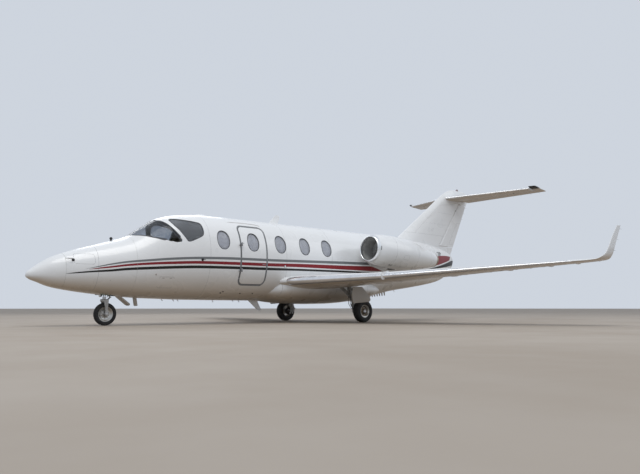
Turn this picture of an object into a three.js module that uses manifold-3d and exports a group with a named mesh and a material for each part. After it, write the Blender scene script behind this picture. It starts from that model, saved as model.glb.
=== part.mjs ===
// A light twin-engine business jet with a T-tail, parked on its landing gear with every door shut.
// Millimetres. +X points to the nose, +Y to port and +Z up.
// The origin is on the ground, under the middle of the overall length and on the plane of symmetry.
// A station is a distance aft of the nose tip, as an aircraft is measured.
import * as THREE from "three";
import { mergeVertices } from "three/addons/utils/BufferGeometryUtils.js";
import Module from "manifold-3d";

const wasm = await Module();
wasm.setup();

// Driving dimensions
const LENGTH = 14750;
const NOSE_X = LENGTH / 2;
const SEAT = 0.35;
const CLEAR = 0.4;
const PORT = 1;
const STARBOARD = -1;
const SIDES = [
  ["left", PORT],
  ["right", STARBOARD],
];
const RAD = Math.PI / 180;

const WALL = 80;
const AFT_WALL = 60;
const CONE_END = 620;
const CABIN_START = 1900;
const CABIN_END = 8450;
const BULKHEAD = 90;
const SKIN_FACETS = 28;
const ROUND_FACETS = 20;
const WHEEL_FACETS = 24;
const SKIN_ROUND = 2.2;
const SKIN_STEP = 650;

const FLOOR_TOP = 870;
const FLOOR_THICK = 40;

const DOOR = { front: 4250, rear: 4985, bottom: 858, top: 2205, corner: 130, gap: 20 };
const DOOR_SKIN = 15;
const DOOR_BEVEL = 60;
const DOOR_HINGE_Y = 872;
const DOOR_KNUCKLE = 14;

const WINDOW = {
  stations: [3820, 4612, 5398, 6142, 6860],
  height: 1830,
  halfWidth: 154,
  halfHeight: 203,
};
const PANE_THICK = 12;
const PANE_INSET = 6;

const WING_ROOT_Y = 860;
const WING_BREAK_Y = 6600;
const FLAP_NOSE = 0.8;
const RUDDER_NOSE = 0.745;
const ELEVATOR_NOSE = 0.7;
const SLOT = 10;
const END_SLOT = 20;
const FLAP_START_Y = 960;
const FLAP_END_Y = 6150;

const TYRE = { radius: 275, width: 195, rim: 150 };
const NOSE_TYRE = { radius: 228.5, width: 112, rim: 112 };
const MAIN_WHEEL = { station: 7411, side: 1510 };
const NOSE_WHEEL_STATION = 1551;

const ENGINE = { station: 7880, side: 1285, height: 1866, tilt: 3.8 };

// The paint and materials of the pieces
function paint(color, roughness, metalness) {
  return new THREE.MeshStandardMaterial({ color, roughness, metalness });
}
const WHITE = paint(0xf1f1ee, 0.25, 0.1);
const POLISHED = paint(0xd9dadc, 0.15, 1);
const GLASS = paint(0x2c3239, 0.08, 0);
const STEEL = paint(0x8d9093, 0.35, 1);
const DARK = paint(0x2a2a2b, 0.6, 0.4);
const RUBBER = paint(0x151515, 0.85, 0);
const LEATHER = paint(0xb9a98d, 0.6, 0);
const CARPET = paint(0x6f6a62, 0.95, 0);
const PANEL = paint(0x33363a, 0.7, 0);

const jet = new THREE.Group();

// Solids: a closed geometry becomes a solid, and a solid becomes a named mesh.
function solid(geometry) {
  const bare = geometry.clone();
  bare.deleteAttribute("normal");
  bare.deleteAttribute("uv");
  const merged = mergeVertices(bare, 1e-3);
  const mesh = new wasm.Mesh({
    numProp: 3,
    vertProperties: new Float32Array(merged.attributes.position.array),
    triVerts: new Uint32Array(merged.index.array),
  });
  return new wasm.Manifold(mesh);
}

function geometryOf(made) {
  const mesh = made.getMesh();
  const geometry = new THREE.BufferGeometry();
  geometry.setAttribute("position", new THREE.BufferAttribute(mesh.vertProperties, 3));
  geometry.setIndex(new THREE.BufferAttribute(mesh.triVerts, 1));
  geometry.computeVertexNormals();
  return geometry;
}

function joined(...solids) {
  return solids.reduce((whole, next) => whole.add(next));
}

function add(name, shape, material, group = jet) {
  const geometry = shape.isBufferGeometry ? shape : geometryOf(shape);
  const mesh = new THREE.Mesh(geometry, material);
  mesh.name = name;
  group.add(mesh);
  return mesh;
}

const xAt = (station) => NOSE_X - station;

// Primitive shapes, placed
function boxOf(station0, station1, y0, y1, z0, z1) {
  const geometry = new THREE.BoxGeometry(station1 - station0, y1 - y0, z1 - z0);
  geometry.translate(xAt((station0 + station1) / 2), (y0 + y1) / 2, (z0 + z1) / 2);
  return solid(geometry);
}

// A round bar between two points given as [x, y, z].
function bar(start, end, radius, facets = 12) {
  const a = new THREE.Vector3(...start);
  const b = new THREE.Vector3(...end);
  const along = b.clone().sub(a);
  const geometry = new THREE.CylinderGeometry(radius, radius, along.length(), facets);
  const turn = new THREE.Quaternion();
  turn.setFromUnitVectors(new THREE.Vector3(0, 1, 0), along.clone().normalize());
  geometry.applyQuaternion(turn);
  geometry.translate(...a.add(b).multiplyScalar(0.5).toArray());
  return solid(geometry);
}

// A ring-by-ring surface through closed rings of the same count, with flat ends.
function loft(rings) {
  const count = rings[0].length;
  const positions = [];
  const faces = [];
  rings.forEach((ring) => ring.forEach((p) => positions.push(p.x, p.y, p.z)));
  for (let r = 0; r + 1 < rings.length; r++) {
    for (let i = 0; i < count; i++) {
      const j = (i + 1) % count;
      const a = r * count + i;
      const b = r * count + j;
      faces.push(a, b, b + count, a, b + count, a + count);
    }
  }
  const ends = [
    [0, true],
    [rings.length - 1, false],
  ];
  for (const [r, first] of ends) {
    const middle = new THREE.Vector3();
    rings[r].forEach((p) => middle.addScaledVector(p, 1 / count));
    const centre = positions.length / 3;
    positions.push(middle.x, middle.y, middle.z);
    for (let i = 0; i < count; i++) {
      const a = r * count + i;
      const b = r * count + ((i + 1) % count);
      faces.push(...(first ? [centre, b, a] : [centre, a, b]));
    }
  }
  const geometry = new THREE.BufferGeometry();
  geometry.setAttribute("position", new THREE.Float32BufferAttribute(positions, 3));
  geometry.setIndex(faces);
  if (signedVolume(geometry) < 0) {
    for (let i = 0; i < faces.length; i += 3) {
      [faces[i + 1], faces[i + 2]] = [faces[i + 2], faces[i + 1]];
    }
    geometry.setIndex(faces);
  }
  return solid(geometry);
}

function signedVolume(geometry) {
  const p = geometry.attributes.position;
  const index = geometry.index;
  const [a, b, c] = [new THREE.Vector3(), new THREE.Vector3(), new THREE.Vector3()];
  let volume = 0;
  for (let i = 0; i < index.count; i += 3) {
    a.fromBufferAttribute(p, index.getX(i));
    b.fromBufferAttribute(p, index.getX(i + 1));
    c.fromBufferAttribute(p, index.getX(i + 2));
    volume += a.dot(b.cross(c)) / 6;
  }
  return volume;
}

// A smooth monotone value between the rows of a table, read from one of its columns.
function between(table, column, place) {
  const last = table.length - 1;
  if (place <= table[0][0]) return table[0][column];
  if (place >= table[last][0]) return table[last][column];
  let k = 0;
  while (table[k + 1][0] < place) k++;
  const slope = (i) => (table[i + 1][column] - table[i][column]) / (table[i + 1][0] - table[i][0]);
  const tangent = (i) => {
    if (i === 0) return slope(0);
    if (i === last) return slope(last - 1);
    const [before, after] = [slope(i - 1), slope(i)];
    return before * after > 0 ? (2 * before * after) / (before + after) : 0;
  };
  const width = table[k + 1][0] - table[k][0];
  const t = (place - table[k][0]) / width;
  const [m0, m1] = [tangent(k) * width, tangent(k + 1) * width];
  const [v0, v1] = [table[k][column], table[k + 1][column]];
  return (
    v0 * (2 * t ** 3 - 3 * t ** 2 + 1) +
    m0 * (t ** 3 - 2 * t ** 2 + t) +
    v1 * (3 * t ** 2 - 2 * t ** 3) +
    m1 * (t ** 3 - t ** 2)
  );
}

// Fuselage sections: [station, top, bottom, half width, height of the widest point]
const HULL = [
  [0, 962, 958, 3, 960],
  [12, 1004, 928, 42, 962],
  [40, 1034, 905, 80, 966],
  [100, 1086, 871, 126, 974],
  [200, 1167, 837, 184, 988],
  [430, 1316, 752, 292, 1030],
  [900, 1496, 671, 440, 1085],
  [1390, 1645, 616, 560, 1140],
  [1960, 1838, 570, 675, 1215],
  [2130, 1965, 559, 704, 1250],
  [2300, 2076, 552, 730, 1290],
  [2630, 2276, 544, 770, 1370],
  [3060, 2374, 532, 812, 1430],
  [3600, 2426, 528, 836, 1460],
  [4200, 2432, 526, 840, 1465],
  [8500, 2432, 530, 840, 1465],
  [9200, 2430, 690, 775, 1540],
  [9900, 2420, 825, 690, 1610],
  [10950, 2385, 965, 540, 1700],
  [11550, 2345, 1050, 445, 1750],
  [12200, 2270, 1170, 325, 1800],
  [12650, 2185, 1330, 225, 1830],
  [13000, 2070, 1590, 120, 1850],
  [13150, 1960, 1800, 40, 1880],
];
const HULL_END = 13150;

// Wing root and belly fairing, in the same columns
const FAIRING = [
  [5060, 860, 650, 580, 790],
  [5350, 1010, 560, 800, 825],
  [5600, 1130, 500, 880, 850],
  [6100, 1175, 462, 960, 860],
  [6700, 1185, 450, 980, 860],
  [7400, 1180, 462, 970, 860],
  [8000, 1150, 505, 920, 860],
  [8600, 1080, 595, 790, 850],
  [9150, 975, 730, 480, 860],
];

function ringOf(table, station, inset, facets = SKIN_FACETS) {
  const [top, bottom, half, waist] = [1, 2, 3, 4].map((c) => between(table, c, station));
  const ring = [];
  for (let i = 0; i < facets; i++) {
    const angle = (i / facets) * 2 * Math.PI;
    const [c, s] = [Math.cos(angle), Math.sin(angle)];
    const reach = s > 0 ? top - waist : waist - bottom;
    const y = (half - inset) * Math.sign(c) * Math.abs(c) ** (2 / SKIN_ROUND);
    const z = (reach - inset) * Math.sign(s) * Math.abs(s) ** (2 / SKIN_ROUND);
    ring.push(new THREE.Vector3(xAt(station), y, waist + z));
  }
  return ring;
}

// The stations of a stretch of hull: both ends, the table's rows and even steps in between.
function stationsOf(table, start, end) {
  const rows = table.map((row) => row[0]).filter((s) => s > start + 20 && s < end - 20);
  const stations = [start, ...rows, end];
  const filled = [start];
  for (let i = 1; i < stations.length; i++) {
    const [a, b] = [stations[i - 1], stations[i]];
    const straight = a >= 4100 && b <= 8600;
    const steps = straight ? 1 : Math.max(1, Math.round((b - a) / SKIN_STEP));
    for (let k = 1; k <= steps; k++) filled.push(a + ((b - a) * k) / steps);
  }
  return filled;
}

function hull(start, end, inset = 0, table = HULL) {
  return loft(stationsOf(table, start, end).map((s) => ringOf(table, s, inset)));
}

// An outline seen from the side, cut through the whole width of one side or of both.
// Its points are [station, height], and its depth runs from y0 to y1.
function sidePrism(points, y0, y1) {
  const shape = new THREE.Shape(points.map(([s, z]) => new THREE.Vector2(xAt(s), z)));
  const geometry = new THREE.ExtrudeGeometry(shape, { depth: y1 - y0, bevelEnabled: false });
  geometry.rotateX(90 * RAD);
  geometry.translate(0, y1, 0);
  return solid(geometry);
}

// An outline seen from above, with points [station, y], from height z0 to z1.
function planPrism(points, z0, z1) {
  const shape = new THREE.Shape(points.map(([s, y]) => new THREE.Vector2(xAt(s), y)));
  const geometry = new THREE.ExtrudeGeometry(shape, { depth: z1 - z0, bevelEnabled: false });
  geometry.translate(0, 0, z0);
  return solid(geometry);
}

function mirrored(made) {
  return made.mirror([0, 1, 0]);
}

function forSide(made, side) {
  return side === PORT ? made : mirrored(made);
}

function ovalPoints(station, height, halfWidth, halfHeight, facets = 12) {
  const points = [];
  for (let i = 0; i < facets; i++) {
    const angle = (i / facets) * 2 * Math.PI;
    const [c, s] = [Math.cos(angle), Math.sin(angle)];
    points.push([
      station + halfWidth * Math.sign(c) * Math.abs(c) ** 0.8,
      height + halfHeight * Math.sign(s) * Math.abs(s) ** 0.8,
    ]);
  }
  return points;
}

function roundedRect(s0, s1, z0, z1, corner, steps = 4) {
  const points = [];
  const corners = [
    [s1 - corner, z1 - corner, 0],
    [s0 + corner, z1 - corner, 90],
    [s0 + corner, z0 + corner, 180],
    [s1 - corner, z0 + corner, 270],
  ];
  for (const [s, z, from] of corners) {
    for (let k = 0; k <= steps; k++) {
      const angle = (from + (90 * k) / steps) * RAD;
      points.push([s + corner * Math.cos(angle), z + corner * Math.sin(angle)]);
    }
  }
  return points;
}

// Points drawn in towards their middle by a distance, for a piece inside its opening.
function shrunk(points, distance) {
  const ms = points.reduce((sum, p) => sum + p[0], 0) / points.length;
  const mz = points.reduce((sum, p) => sum + p[1], 0) / points.length;
  return points.map(([s, z]) => {
    const length = Math.hypot(s - ms, z - mz);
    const keep = (length - distance) / length;
    return [ms + (s - ms) * keep, mz + (z - mz) * keep];
  });
}

// Cockpit glass: outlines of the port panes
const WINDSHIELD_PLAN = [
  [1986, 30],
  [1996, 200],
  [2040, 340],
  [2113, 441],
  [2236, 559],
  [2399, 650],
  [2567, 711],
  [2688, 738],
  [2798, 757],
  [2843, 753],
  [2813, 726],
  [2755, 679],
  [2685, 601],
  [2626, 505],
  [2575, 393],
  [2544, 297],
  [2510, 189],
  [2490, 30],
];
const WINDSHIELD_FLOOR = 1690;
const COCKPIT_WINDOW_SIDE = [
  [2690, 2176],
  [2764, 2228],
  [2865, 2232],
  [3026, 2218],
  [3206, 2196],
  [3312, 2173],
  [3345, 2138],
  [3354, 1970],
  [3330, 1901],
  [3268, 1856],
  [3180, 1813],
  [2995, 1740],
  [2960, 1752],
  [2915, 1821],
  [2866, 1894],
  [2804, 1994],
  [2746, 2071],
];
// How far a cut through the skin reaches: upward, outward, and inward towards the middle
const HIGH = 2600;
const OUTSIDE = 1200;
const INSIDE = 300;
const COCKPIT_INSIDE = 200;

// A pane: the skin's own curve between two depths, inside its outline.
const skinLayer = hull(CABIN_START + BULKHEAD, CABIN_END - BULKHEAD, PANE_INSET).subtract(
  hull(CABIN_START + BULKHEAD - 1, CABIN_END - BULKHEAD + 1, PANE_INSET + PANE_THICK),
);
const outer = hull(CABIN_START, CABIN_END);
const inner = hull(CABIN_START + BULKHEAD, CABIN_END - BULKHEAD, WALL);

const windowPoints = (station) =>
  ovalPoints(station, WINDOW.height, WINDOW.halfWidth, WINDOW.halfHeight);
const doorOutline = roundedRect(DOOR.front, DOOR.rear, DOOR.bottom, DOOR.top, DOOR.corner);

// Cabin shell
function cabinShell() {
  let shell = outer.subtract(inner);
  for (const [, side] of SIDES) {
    const glassHoles = [
      planPrism(WINDSHIELD_PLAN, WINDSHIELD_FLOOR, HIGH),
      sidePrism(COCKPIT_WINDOW_SIDE, COCKPIT_INSIDE, OUTSIDE),
    ];
    glassHoles.forEach((hole) => {
      shell = shell.subtract(forSide(hole, side));
    });
    for (const station of WINDOW.stations) {
      const inDoor = side === PORT && station > DOOR.front && station < DOOR.rear;
      if (inDoor) continue;
      shell = shell.subtract(forSide(sidePrism(windowPoints(station), INSIDE, OUTSIDE), side));
    }
  }
  return shell.subtract(sidePrism(doorOutline, INSIDE, OUTSIDE));
}

const HINGE_HEIGHTS = [1180, 1760];
const HINGE_ARM = 90;
const LUG = { length: 44, depth: 125, proud: 4, shorter: 15 };
const HINGE_STATION = DOOR.front + DOOR.gap / 2;
const hingeX = xAt(HINGE_STATION);

// A door hinge: the fuselage carries the lower knuckle and the door the upper one.
function hingeKnuckle(height, onDoor) {
  const z0 = onDoor ? height + SEAT : height - HINGE_ARM;
  const z1 = onDoor ? height + HINGE_ARM : height;
  const knuckle = bar([hingeX, DOOR_HINGE_Y, z0], [hingeX, DOOR_HINGE_Y, z1], DOOR_KNUCKLE);
  const start = onDoor ? HINGE_STATION : HINGE_STATION - LUG.length;
  const y0 = DOOR_HINGE_Y - LUG.depth;
  const y1 = DOOR_HINGE_Y + LUG.proud;
  const lug = boxOf(start, start + LUG.length, y0, y1, z0 + LUG.shorter, z1 - LUG.shorter);
  return knuckle.add(lug);
}

let shell = cabinShell();
HINGE_HEIGHTS.forEach((height) => {
  shell = shell.add(hingeKnuckle(height, false));
});
add("cabin_shell", shell, WHITE);

// Passenger door: a full-size outer skin on an inner frame that stops short of the rear edge,
// so that the rear edge swings out past its frame.
function passengerDoor() {
  const outline = roundedRect(
    DOOR.front + DOOR.gap,
    DOOR.rear - DOOR.gap,
    DOOR.bottom + DOOR.gap,
    DOOR.top - DOOR.gap,
    DOOR.corner - DOOR.gap,
  );
  const frame = roundedRect(
    DOOR.front + DOOR.gap,
    DOOR.rear - DOOR.gap - DOOR_BEVEL,
    DOOR.bottom + DOOR.gap,
    DOOR.top - DOOR.gap,
    DOOR.corner - DOOR.gap,
  );
  const skin = outer
    .subtract(hull(CABIN_START - 1, CABIN_END + 1, DOOR_SKIN))
    .intersect(sidePrism(outline, INSIDE, OUTSIDE));
  const body = outer.subtract(inner).intersect(sidePrism(frame, INSIDE, OUTSIDE));
  let door = skin.add(body);
  HINGE_HEIGHTS.forEach((height) => {
    door = door.add(hingeKnuckle(height, true));
  });
  const station = WINDOW.stations[1];
  return door.subtract(sidePrism(windowPoints(station), INSIDE, OUTSIDE));
}
add("passenger_door", passengerDoor(), WHITE);

// Window panes
function pane(outline, cut) {
  return skinLayer.intersect(cut(shrunk(outline, CLEAR)));
}
for (const [name, side] of SIDES) {
  const front = pane(WINDSHIELD_PLAN, (p) => planPrism(p, WINDSHIELD_FLOOR, HIGH));
  const beside = pane(COCKPIT_WINDOW_SIDE, (p) => sidePrism(p, COCKPIT_INSIDE, OUTSIDE));
  add("windshield_" + name, forSide(front, side), GLASS);
  add("cockpit_window_" + name, forSide(beside, side), GLASS);
}
const sidePane = (station) => pane(windowPoints(station), (p) => sidePrism(p, INSIDE, OUTSIDE));
add("cabin_window_front", sidePane(WINDOW.stations[0]), GLASS);
add("door_window", sidePane(WINDOW.stations[1]), GLASS);

// A row of windows joined by the trim panel that carries them, just inside the wall.
const TRIM = { thick: 6, margin: 30, corner: 60, rim: 12 };
function windowRow(stations) {
  const first = stations[0] - WINDOW.halfWidth - TRIM.margin;
  const last = stations[stations.length - 1] + WINDOW.halfWidth + TRIM.margin;
  const inside = WALL + SEAT;
  const lining = hull(CABIN_START + BULKHEAD, CABIN_END - BULKHEAD, inside).subtract(
    hull(CABIN_START + BULKHEAD - 1, CABIN_END - BULKHEAD + 1, inside + TRIM.thick),
  );
  const reach = WINDOW.halfHeight + TRIM.margin;
  const outline = roundedRect(first, last, WINDOW.height - reach, WINDOW.height + reach, TRIM.corner);
  const strip = sidePrism(outline, INSIDE, OUTSIDE);
  let row = lining.intersect(strip);
  const sleeve = hull(CABIN_START + BULKHEAD, CABIN_END - BULKHEAD, PANE_INSET).subtract(
    hull(CABIN_START + BULKHEAD - 1, CABIN_END - BULKHEAD + 1, inside + TRIM.thick),
  );
  for (const station of stations) {
    const wide = shrunk(windowPoints(station), CLEAR);
    const narrow = shrunk(windowPoints(station), TRIM.rim);
    const hollow = hull(
      CABIN_START + BULKHEAD - 1,
      CABIN_END - BULKHEAD + 1,
      PANE_INSET + PANE_THICK,
    ).intersect(sidePrism(narrow, INSIDE, OUTSIDE));
    row = row.add(sleeve.intersect(sidePrism(wide, INSIDE, OUTSIDE))).subtract(hollow);
  }
  return row;
}
add("cabin_windows_left", windowRow(WINDOW.stations.slice(2)), GLASS);
add("cabin_windows_right", mirrored(windowRow(WINDOW.stations)), GLASS);

// Nose: the radome and the nose section, with the nose-wheel bay open below
const BAY = { front: 1400, rear: 1690, half: 150, top: 860 };
add("nose_cone", hull(0, CONE_END), WHITE);
const noseBay = boxOf(BAY.front, BAY.rear, -BAY.half, BAY.half, 0, BAY.top);
add("nose_section", hull(CONE_END + SEAT, CABIN_START - SEAT).subtract(noseBay), WHITE);

// Aft fuselage: a shell open at its front, where the cabin's rear bulkhead closes it
const AFT_HOLLOW_END = 12100;
const aftStart = CABIN_END + SEAT;
const aftHollow = hull(aftStart - 1, AFT_HOLLOW_END, AFT_WALL);
add("aft_fuselage", hull(aftStart, HULL_END).subtract(aftHollow), WHITE);

// Wing. Rows from root to winglet tip: [spanwise y, leading-edge station, height, chord,
// thickness share, cant in degrees, twist in degrees with the nose up]
const WING = [
  [WING_ROOT_Y, 5475, 975, 2350, 0.135, 0, 1.3],
  [3000, 6392, 1040, 1818, 0.12, 0, -0.8],
  [WING_BREAK_Y, 7934, 1246, 930, 0.075, 0, -2],
  [6850, 8041, 1260, 740, 0.075, 4, -2],
  [7000, 8108, 1280, 540, 0.08, 16, -1.6],
  [7080, 8165, 1325, 410, 0.085, 42, -0.8],
  [7120, 8262, 1400, 318, 0.09, 64, 0],
  [7140, 8352, 1520, 273, 0.09, 75, 0],
  [7152, 8508, 1730, 235, 0.09, 80, 0],
  [7163, 8715, 1950, 165, 0.09, 80, 0],
];
const FOIL_STEPS = 6;
const EDGE_HALF = 0.0015;

// Half thickness of the foil, as a share of the chord, at a share of the chord from its nose.
function foilHalf(thickness, share) {
  const t = share;
  const front = 0.2969 * Math.sqrt(t) - 0.126 * t - 0.3516 * t ** 2;
  const rear = 0.2843 * t ** 3 - 0.1015 * t ** 4;
  return 5 * thickness * (front + rear) + EDGE_HALF;
}

// Where the fixed surface ends, as a share of the chord, to leave a slot round the moving one's nose.
function wallShare(chord, thickness, nose) {
  return nose - foilHalf(thickness, nose) - SLOT / chord;
}

// A ring round a foil between two shares of its chord. It ends in a flat wall where it stops
// short of the trailing edge, and starts with a half-round nose where it leaves the leading edge out.
function foilRing(place, chord, thickness, along, up, from = 0, to = 1) {
  const upper = [];
  const lower = [];
  for (let i = 0; i <= FOIL_STEPS; i++) {
    const bend = from === 0 ? 1 - Math.cos((i / FOIL_STEPS) * 0.5 * Math.PI) : i / FOIL_STEPS;
    const share = from + (to - from) * bend;
    const half = foilHalf(thickness, share);
    if (from === 0 && i === 0) {
      upper.push([0, 0]);
      continue;
    }
    upper.push([share, half]);
    lower.push([share, -half]);
  }
  const outline = [...upper, ...lower.reverse()];
  if (from > 0) {
    const half = foilHalf(thickness, from);
    for (const angle of [-60, -30, 0, 30, 60]) {
      outline.push([
        from - half * Math.cos(angle * RAD),
        half * Math.sin(angle * RAD),
      ]);
    }
  }
  return outline.map(([share, lift]) =>
    place.clone().addScaledVector(along, share * chord).addScaledVector(up, lift * chord),
  );
}

function wingRing(row, from, to) {
  const [y, station, height, chord, thickness, cant, nose] = row;
  const twist = nose * RAD;
  const along = new THREE.Vector3(-Math.cos(twist), 0, -Math.sin(twist));
  const up = new THREE.Vector3(0, -Math.sin(cant * RAD), Math.cos(cant * RAD));
  return foilRing(new THREE.Vector3(xAt(station), y, height), chord, thickness, along, up, from, to);
}

// A wing section at any y between the root and the break, by straight taper between rows.
function wingRowAt(y) {
  let k = 0;
  while (k < WING.length - 2 && WING[k + 1][0] < y) k++;
  const t = (y - WING[k][0]) / (WING[k + 1][0] - WING[k][0]);
  return WING[k].map((value, c) => value + (WING[k + 1][c] - value) * t);
}

function wingSolid() {
  const mainRows = WING.slice(0, 3);
  const main = loft(mainRows.map((row) => wingRing(row, 0, wallShare(row[3], row[4], FLAP_NOSE))));
  const tipRows = [wingRowAt(FLAP_END_Y + END_SLOT), ...WING.slice(2)];
  const tip = loft(tipRows.map((row) => wingRing(row, 0, 1)));
  const rootRows = [WING_ROOT_Y, FLAP_START_Y - END_SLOT].map(wingRowAt);
  const root = loft(rootRows.map((row) => wingRing(row, 0, 1)));
  return joined(main, tip, root);
}
const wing = wingSolid();
const flap = loft(
  [FLAP_START_Y, 3000, FLAP_END_Y].map((y) => wingRing(wingRowAt(y), FLAP_NOSE, 1)),
);

// Flap hinge line, through the middle of the flap's half-round nose
function flapHinge(y) {
  const [, station, height, chord, , , nose] = wingRowAt(y);
  const twist = nose * RAD;
  return [
    xAt(station) - FLAP_NOSE * chord * Math.cos(twist),
    y,
    height - FLAP_NOSE * chord * Math.sin(twist),
  ];
}

// The belly fairing stops flat against the wing roots and follows the fuselage above them.
const AROUND = { front: 5000, rear: 9500 };
const bellyFairing = hull(FAIRING[0][0], FAIRING[FAIRING.length - 1][0], 0, FAIRING)
  .intersect(boxOf(AROUND.front, AROUND.rear, -(WING_ROOT_Y - CLEAR), WING_ROOT_Y - CLEAR, 0, HIGH))
  .subtract(hull(AROUND.front, AROUND.rear, -CLEAR));
add("belly_fairing", bellyFairing, WHITE);

const flapEnds = [FLAP_START_Y, FLAP_END_Y].map(flapHinge);

// Fin and rudder. Rows upward: [height, leading-edge station, trailing-edge station, thickness]
const FIN = [
  [2050, 9900, 13050, 230],
  [2400, 10400, 13240, 230],
  [2530, 10590, 13310, 225],
  [3500, 11960, 13835, 175],
  [3842, 12433, 14022, 152],
];

function finRowAt(height) {
  let k = 0;
  while (k < FIN.length - 2 && FIN[k + 1][0] < height) k++;
  const t = (height - FIN[k][0]) / (FIN[k + 1][0] - FIN[k][0]);
  return FIN[k].map((value, c) => value + (FIN[k + 1][c] - value) * t);
}

// With no end given, the ring stops where the slot in front of the rudder starts.
function finRing(height, from, to) {
  const [z, front, rear, thick] = finRowAt(height);
  const chord = rear - front;
  const end = to ?? wallShare(chord, thick / chord, RUDDER_NOSE);
  const along = new THREE.Vector3(-1, 0, 0);
  const up = new THREE.Vector3(0, 1, 0);
  return foilRing(new THREE.Vector3(xAt(front), 0, z), chord, thick / chord, along, up, from, end);
}

const RUDDER_BOTTOM = 2330;
const RUDDER_TOP = 3770;
const FIN_FOOT = FIN[0][0];
const FIN_TOP = FIN[FIN.length - 1][0];
const finMain = loft([FIN_FOOT, 2530, 3500, FIN_TOP].map((z) => finRing(z, 0)));
const finFoot = loft([FIN_FOOT, RUDDER_BOTTOM - END_SLOT].map((z) => finRing(z, 0, 1)));
const finCap = loft([RUDDER_TOP + END_SLOT, FIN_TOP].map((z) => finRing(z, 0, 1)));
const finSolid = joined(finMain, finFoot, finCap);
const rudder = loft([RUDDER_BOTTOM, 3000, RUDDER_TOP].map((z) => finRing(z, RUDDER_NOSE, 1)));

function rudderHinge(height) {
  const [z, front, rear] = finRowAt(height);
  return [xAt(front + (rear - front) * RUDDER_NOSE), 0, z];
}

// Short pins on a hinge line, one out of each end of a control surface
const PIN = { radius: 10, reach: 40, root: 60, play: 0.7 };
function endPins([low, high], radius, reach) {
  const [a, b] = [new THREE.Vector3(...low), new THREE.Vector3(...high)];
  const direction = b.clone().sub(a).normalize();
  const point = (from, distance) => from.clone().addScaledVector(direction, distance).toArray();
  return joined(
    bar(point(a, -reach), point(a, PIN.root), radius, 10),
    bar(point(b, -PIN.root), point(b, reach), radius, 10),
  );
}
const pinsOn = (ends) => endPins(ends, PIN.radius, PIN.reach);
const pinHolesOn = (ends) => endPins(ends, PIN.radius + PIN.play, PIN.reach + SEAT);

const rudderEnds = [RUDDER_BOTTOM, RUDDER_TOP].map(rudderHinge);
const finHoled = finSolid.subtract(hull(9000, HULL_END, -CLEAR)).subtract(pinHolesOn(rudderEnds));
add("fin", finHoled, WHITE);
add("rudder", rudder.add(pinsOn(rudderEnds)), WHITE);

// Tailplane and elevators: [y, leading-edge station, height, chord, thickness share]
const TAIL = [
  [0, 12740, 3900, 1160, 0.1],
  [2500, 14050, 4062, 700, 0.09],
];
const TAIL_TIP = 2500;
const ELEVATOR_START = 150;
const ELEVATOR_END = 2330;
const DROOP = 8;

function tailRowAt(y) {
  const t = y / TAIL_TIP;
  return TAIL[0].map((value, c) => value + (TAIL[1][c] - value) * t);
}

function tailRing(y, from, to) {
  const [, station, height, chord, thickness] = tailRowAt(y);
  const end = to ?? wallShare(chord, thickness, ELEVATOR_NOSE);
  const along = new THREE.Vector3(-1, 0, 0);
  const up = new THREE.Vector3(0, 0, 1);
  return foilRing(new THREE.Vector3(xAt(station), y, height), chord, thickness, along, up, from, end);
}

function elevatorHinge(y) {
  const [, station, height, chord] = tailRowAt(y);
  return [xAt(station + ELEVATOR_NOSE * chord), y, height];
}

// A solid turned about a line through a point.
function turned(made, point, axis, degrees) {
  const p = new THREE.Vector3(...point);
  const matrix = new THREE.Matrix4().makeTranslation(p);
  matrix.multiply(new THREE.Matrix4().makeRotationAxis(axis.clone().normalize(), degrees * RAD));
  matrix.multiply(new THREE.Matrix4().makeTranslation(p.clone().negate()));
  return made.transform(matrix.elements);
}

const elevatorEnds = [ELEVATOR_START, ELEVATOR_END].map(elevatorHinge);
const [hingeLow, hingeHigh] = elevatorEnds;
const hingeLine = new THREE.Vector3(...hingeHigh).sub(new THREE.Vector3(...hingeLow));
const tailHalf = joined(
  loft([0, TAIL_TIP].map((y) => tailRing(y, 0))),
  loft([ELEVATOR_END + END_SLOT, TAIL_TIP].map((y) => tailRing(y, 0, 1))),
  loft([0, ELEVATOR_START - END_SLOT].map((y) => tailRing(y, 0, 1))),
).subtract(pinHolesOn(elevatorEnds));
const elevatorHalf = turned(
  loft([ELEVATOR_START, ELEVATOR_END].map((y) => tailRing(y, ELEVATOR_NOSE, 1))),
  hingeLow,
  hingeLine,
  -DROOP,
).add(pinsOn(elevatorEnds));

// The cap that carries the fin on above the tailplane, in the fin's columns
const CAP = [
  [3830, 12420, 14022, 152],
  [3960, 12600, 14120, 146],
  [4060, 12770, 14210, 132],
  [4150, 12930, 14160, 110],
  [4205, 13070, 14010, 80],
  [4238, 13260, 13850, 30],
];
const cap = loft(
  CAP.map(([z, front, rear, thick]) => {
    const chord = rear - front;
    const along = new THREE.Vector3(-1, 0, 0);
    const up = new THREE.Vector3(0, 1, 0);
    return foilRing(new THREE.Vector3(xAt(front), 0, z), chord, thick / chord, along, up);
  }),
);
const underTail = boxOf(12000, 14700, -300, 300, 3700, FIN_TOP + SEAT);
const tailplane = joined(tailHalf, mirrored(tailHalf), cap).subtract(underTail);
add("tailplane", tailplane, WHITE);
for (const [name, side] of SIDES) {
  add("elevator_" + name, forSide(elevatorHalf, side), WHITE);
}

// Engines. Each nacelle and its engine are turned shapes about the engine's own axis, which starts
// at the intake lip and drops a little towards the rear. Profiles are [distance aft, radius].
function turnedShape(profile, facets = ROUND_FACETS) {
  const points = profile.map(([back, radius]) => new THREE.Vector2(radius, -back));
  const geometry = new THREE.LatheGeometry(points, facets);
  geometry.rotateZ(-90 * RAD);
  const made = solid(geometry);
  if (made.volume() > 0) return made;
  return solid(new THREE.LatheGeometry(points.reverse(), facets).rotateZ(-90 * RAD));
}

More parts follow.
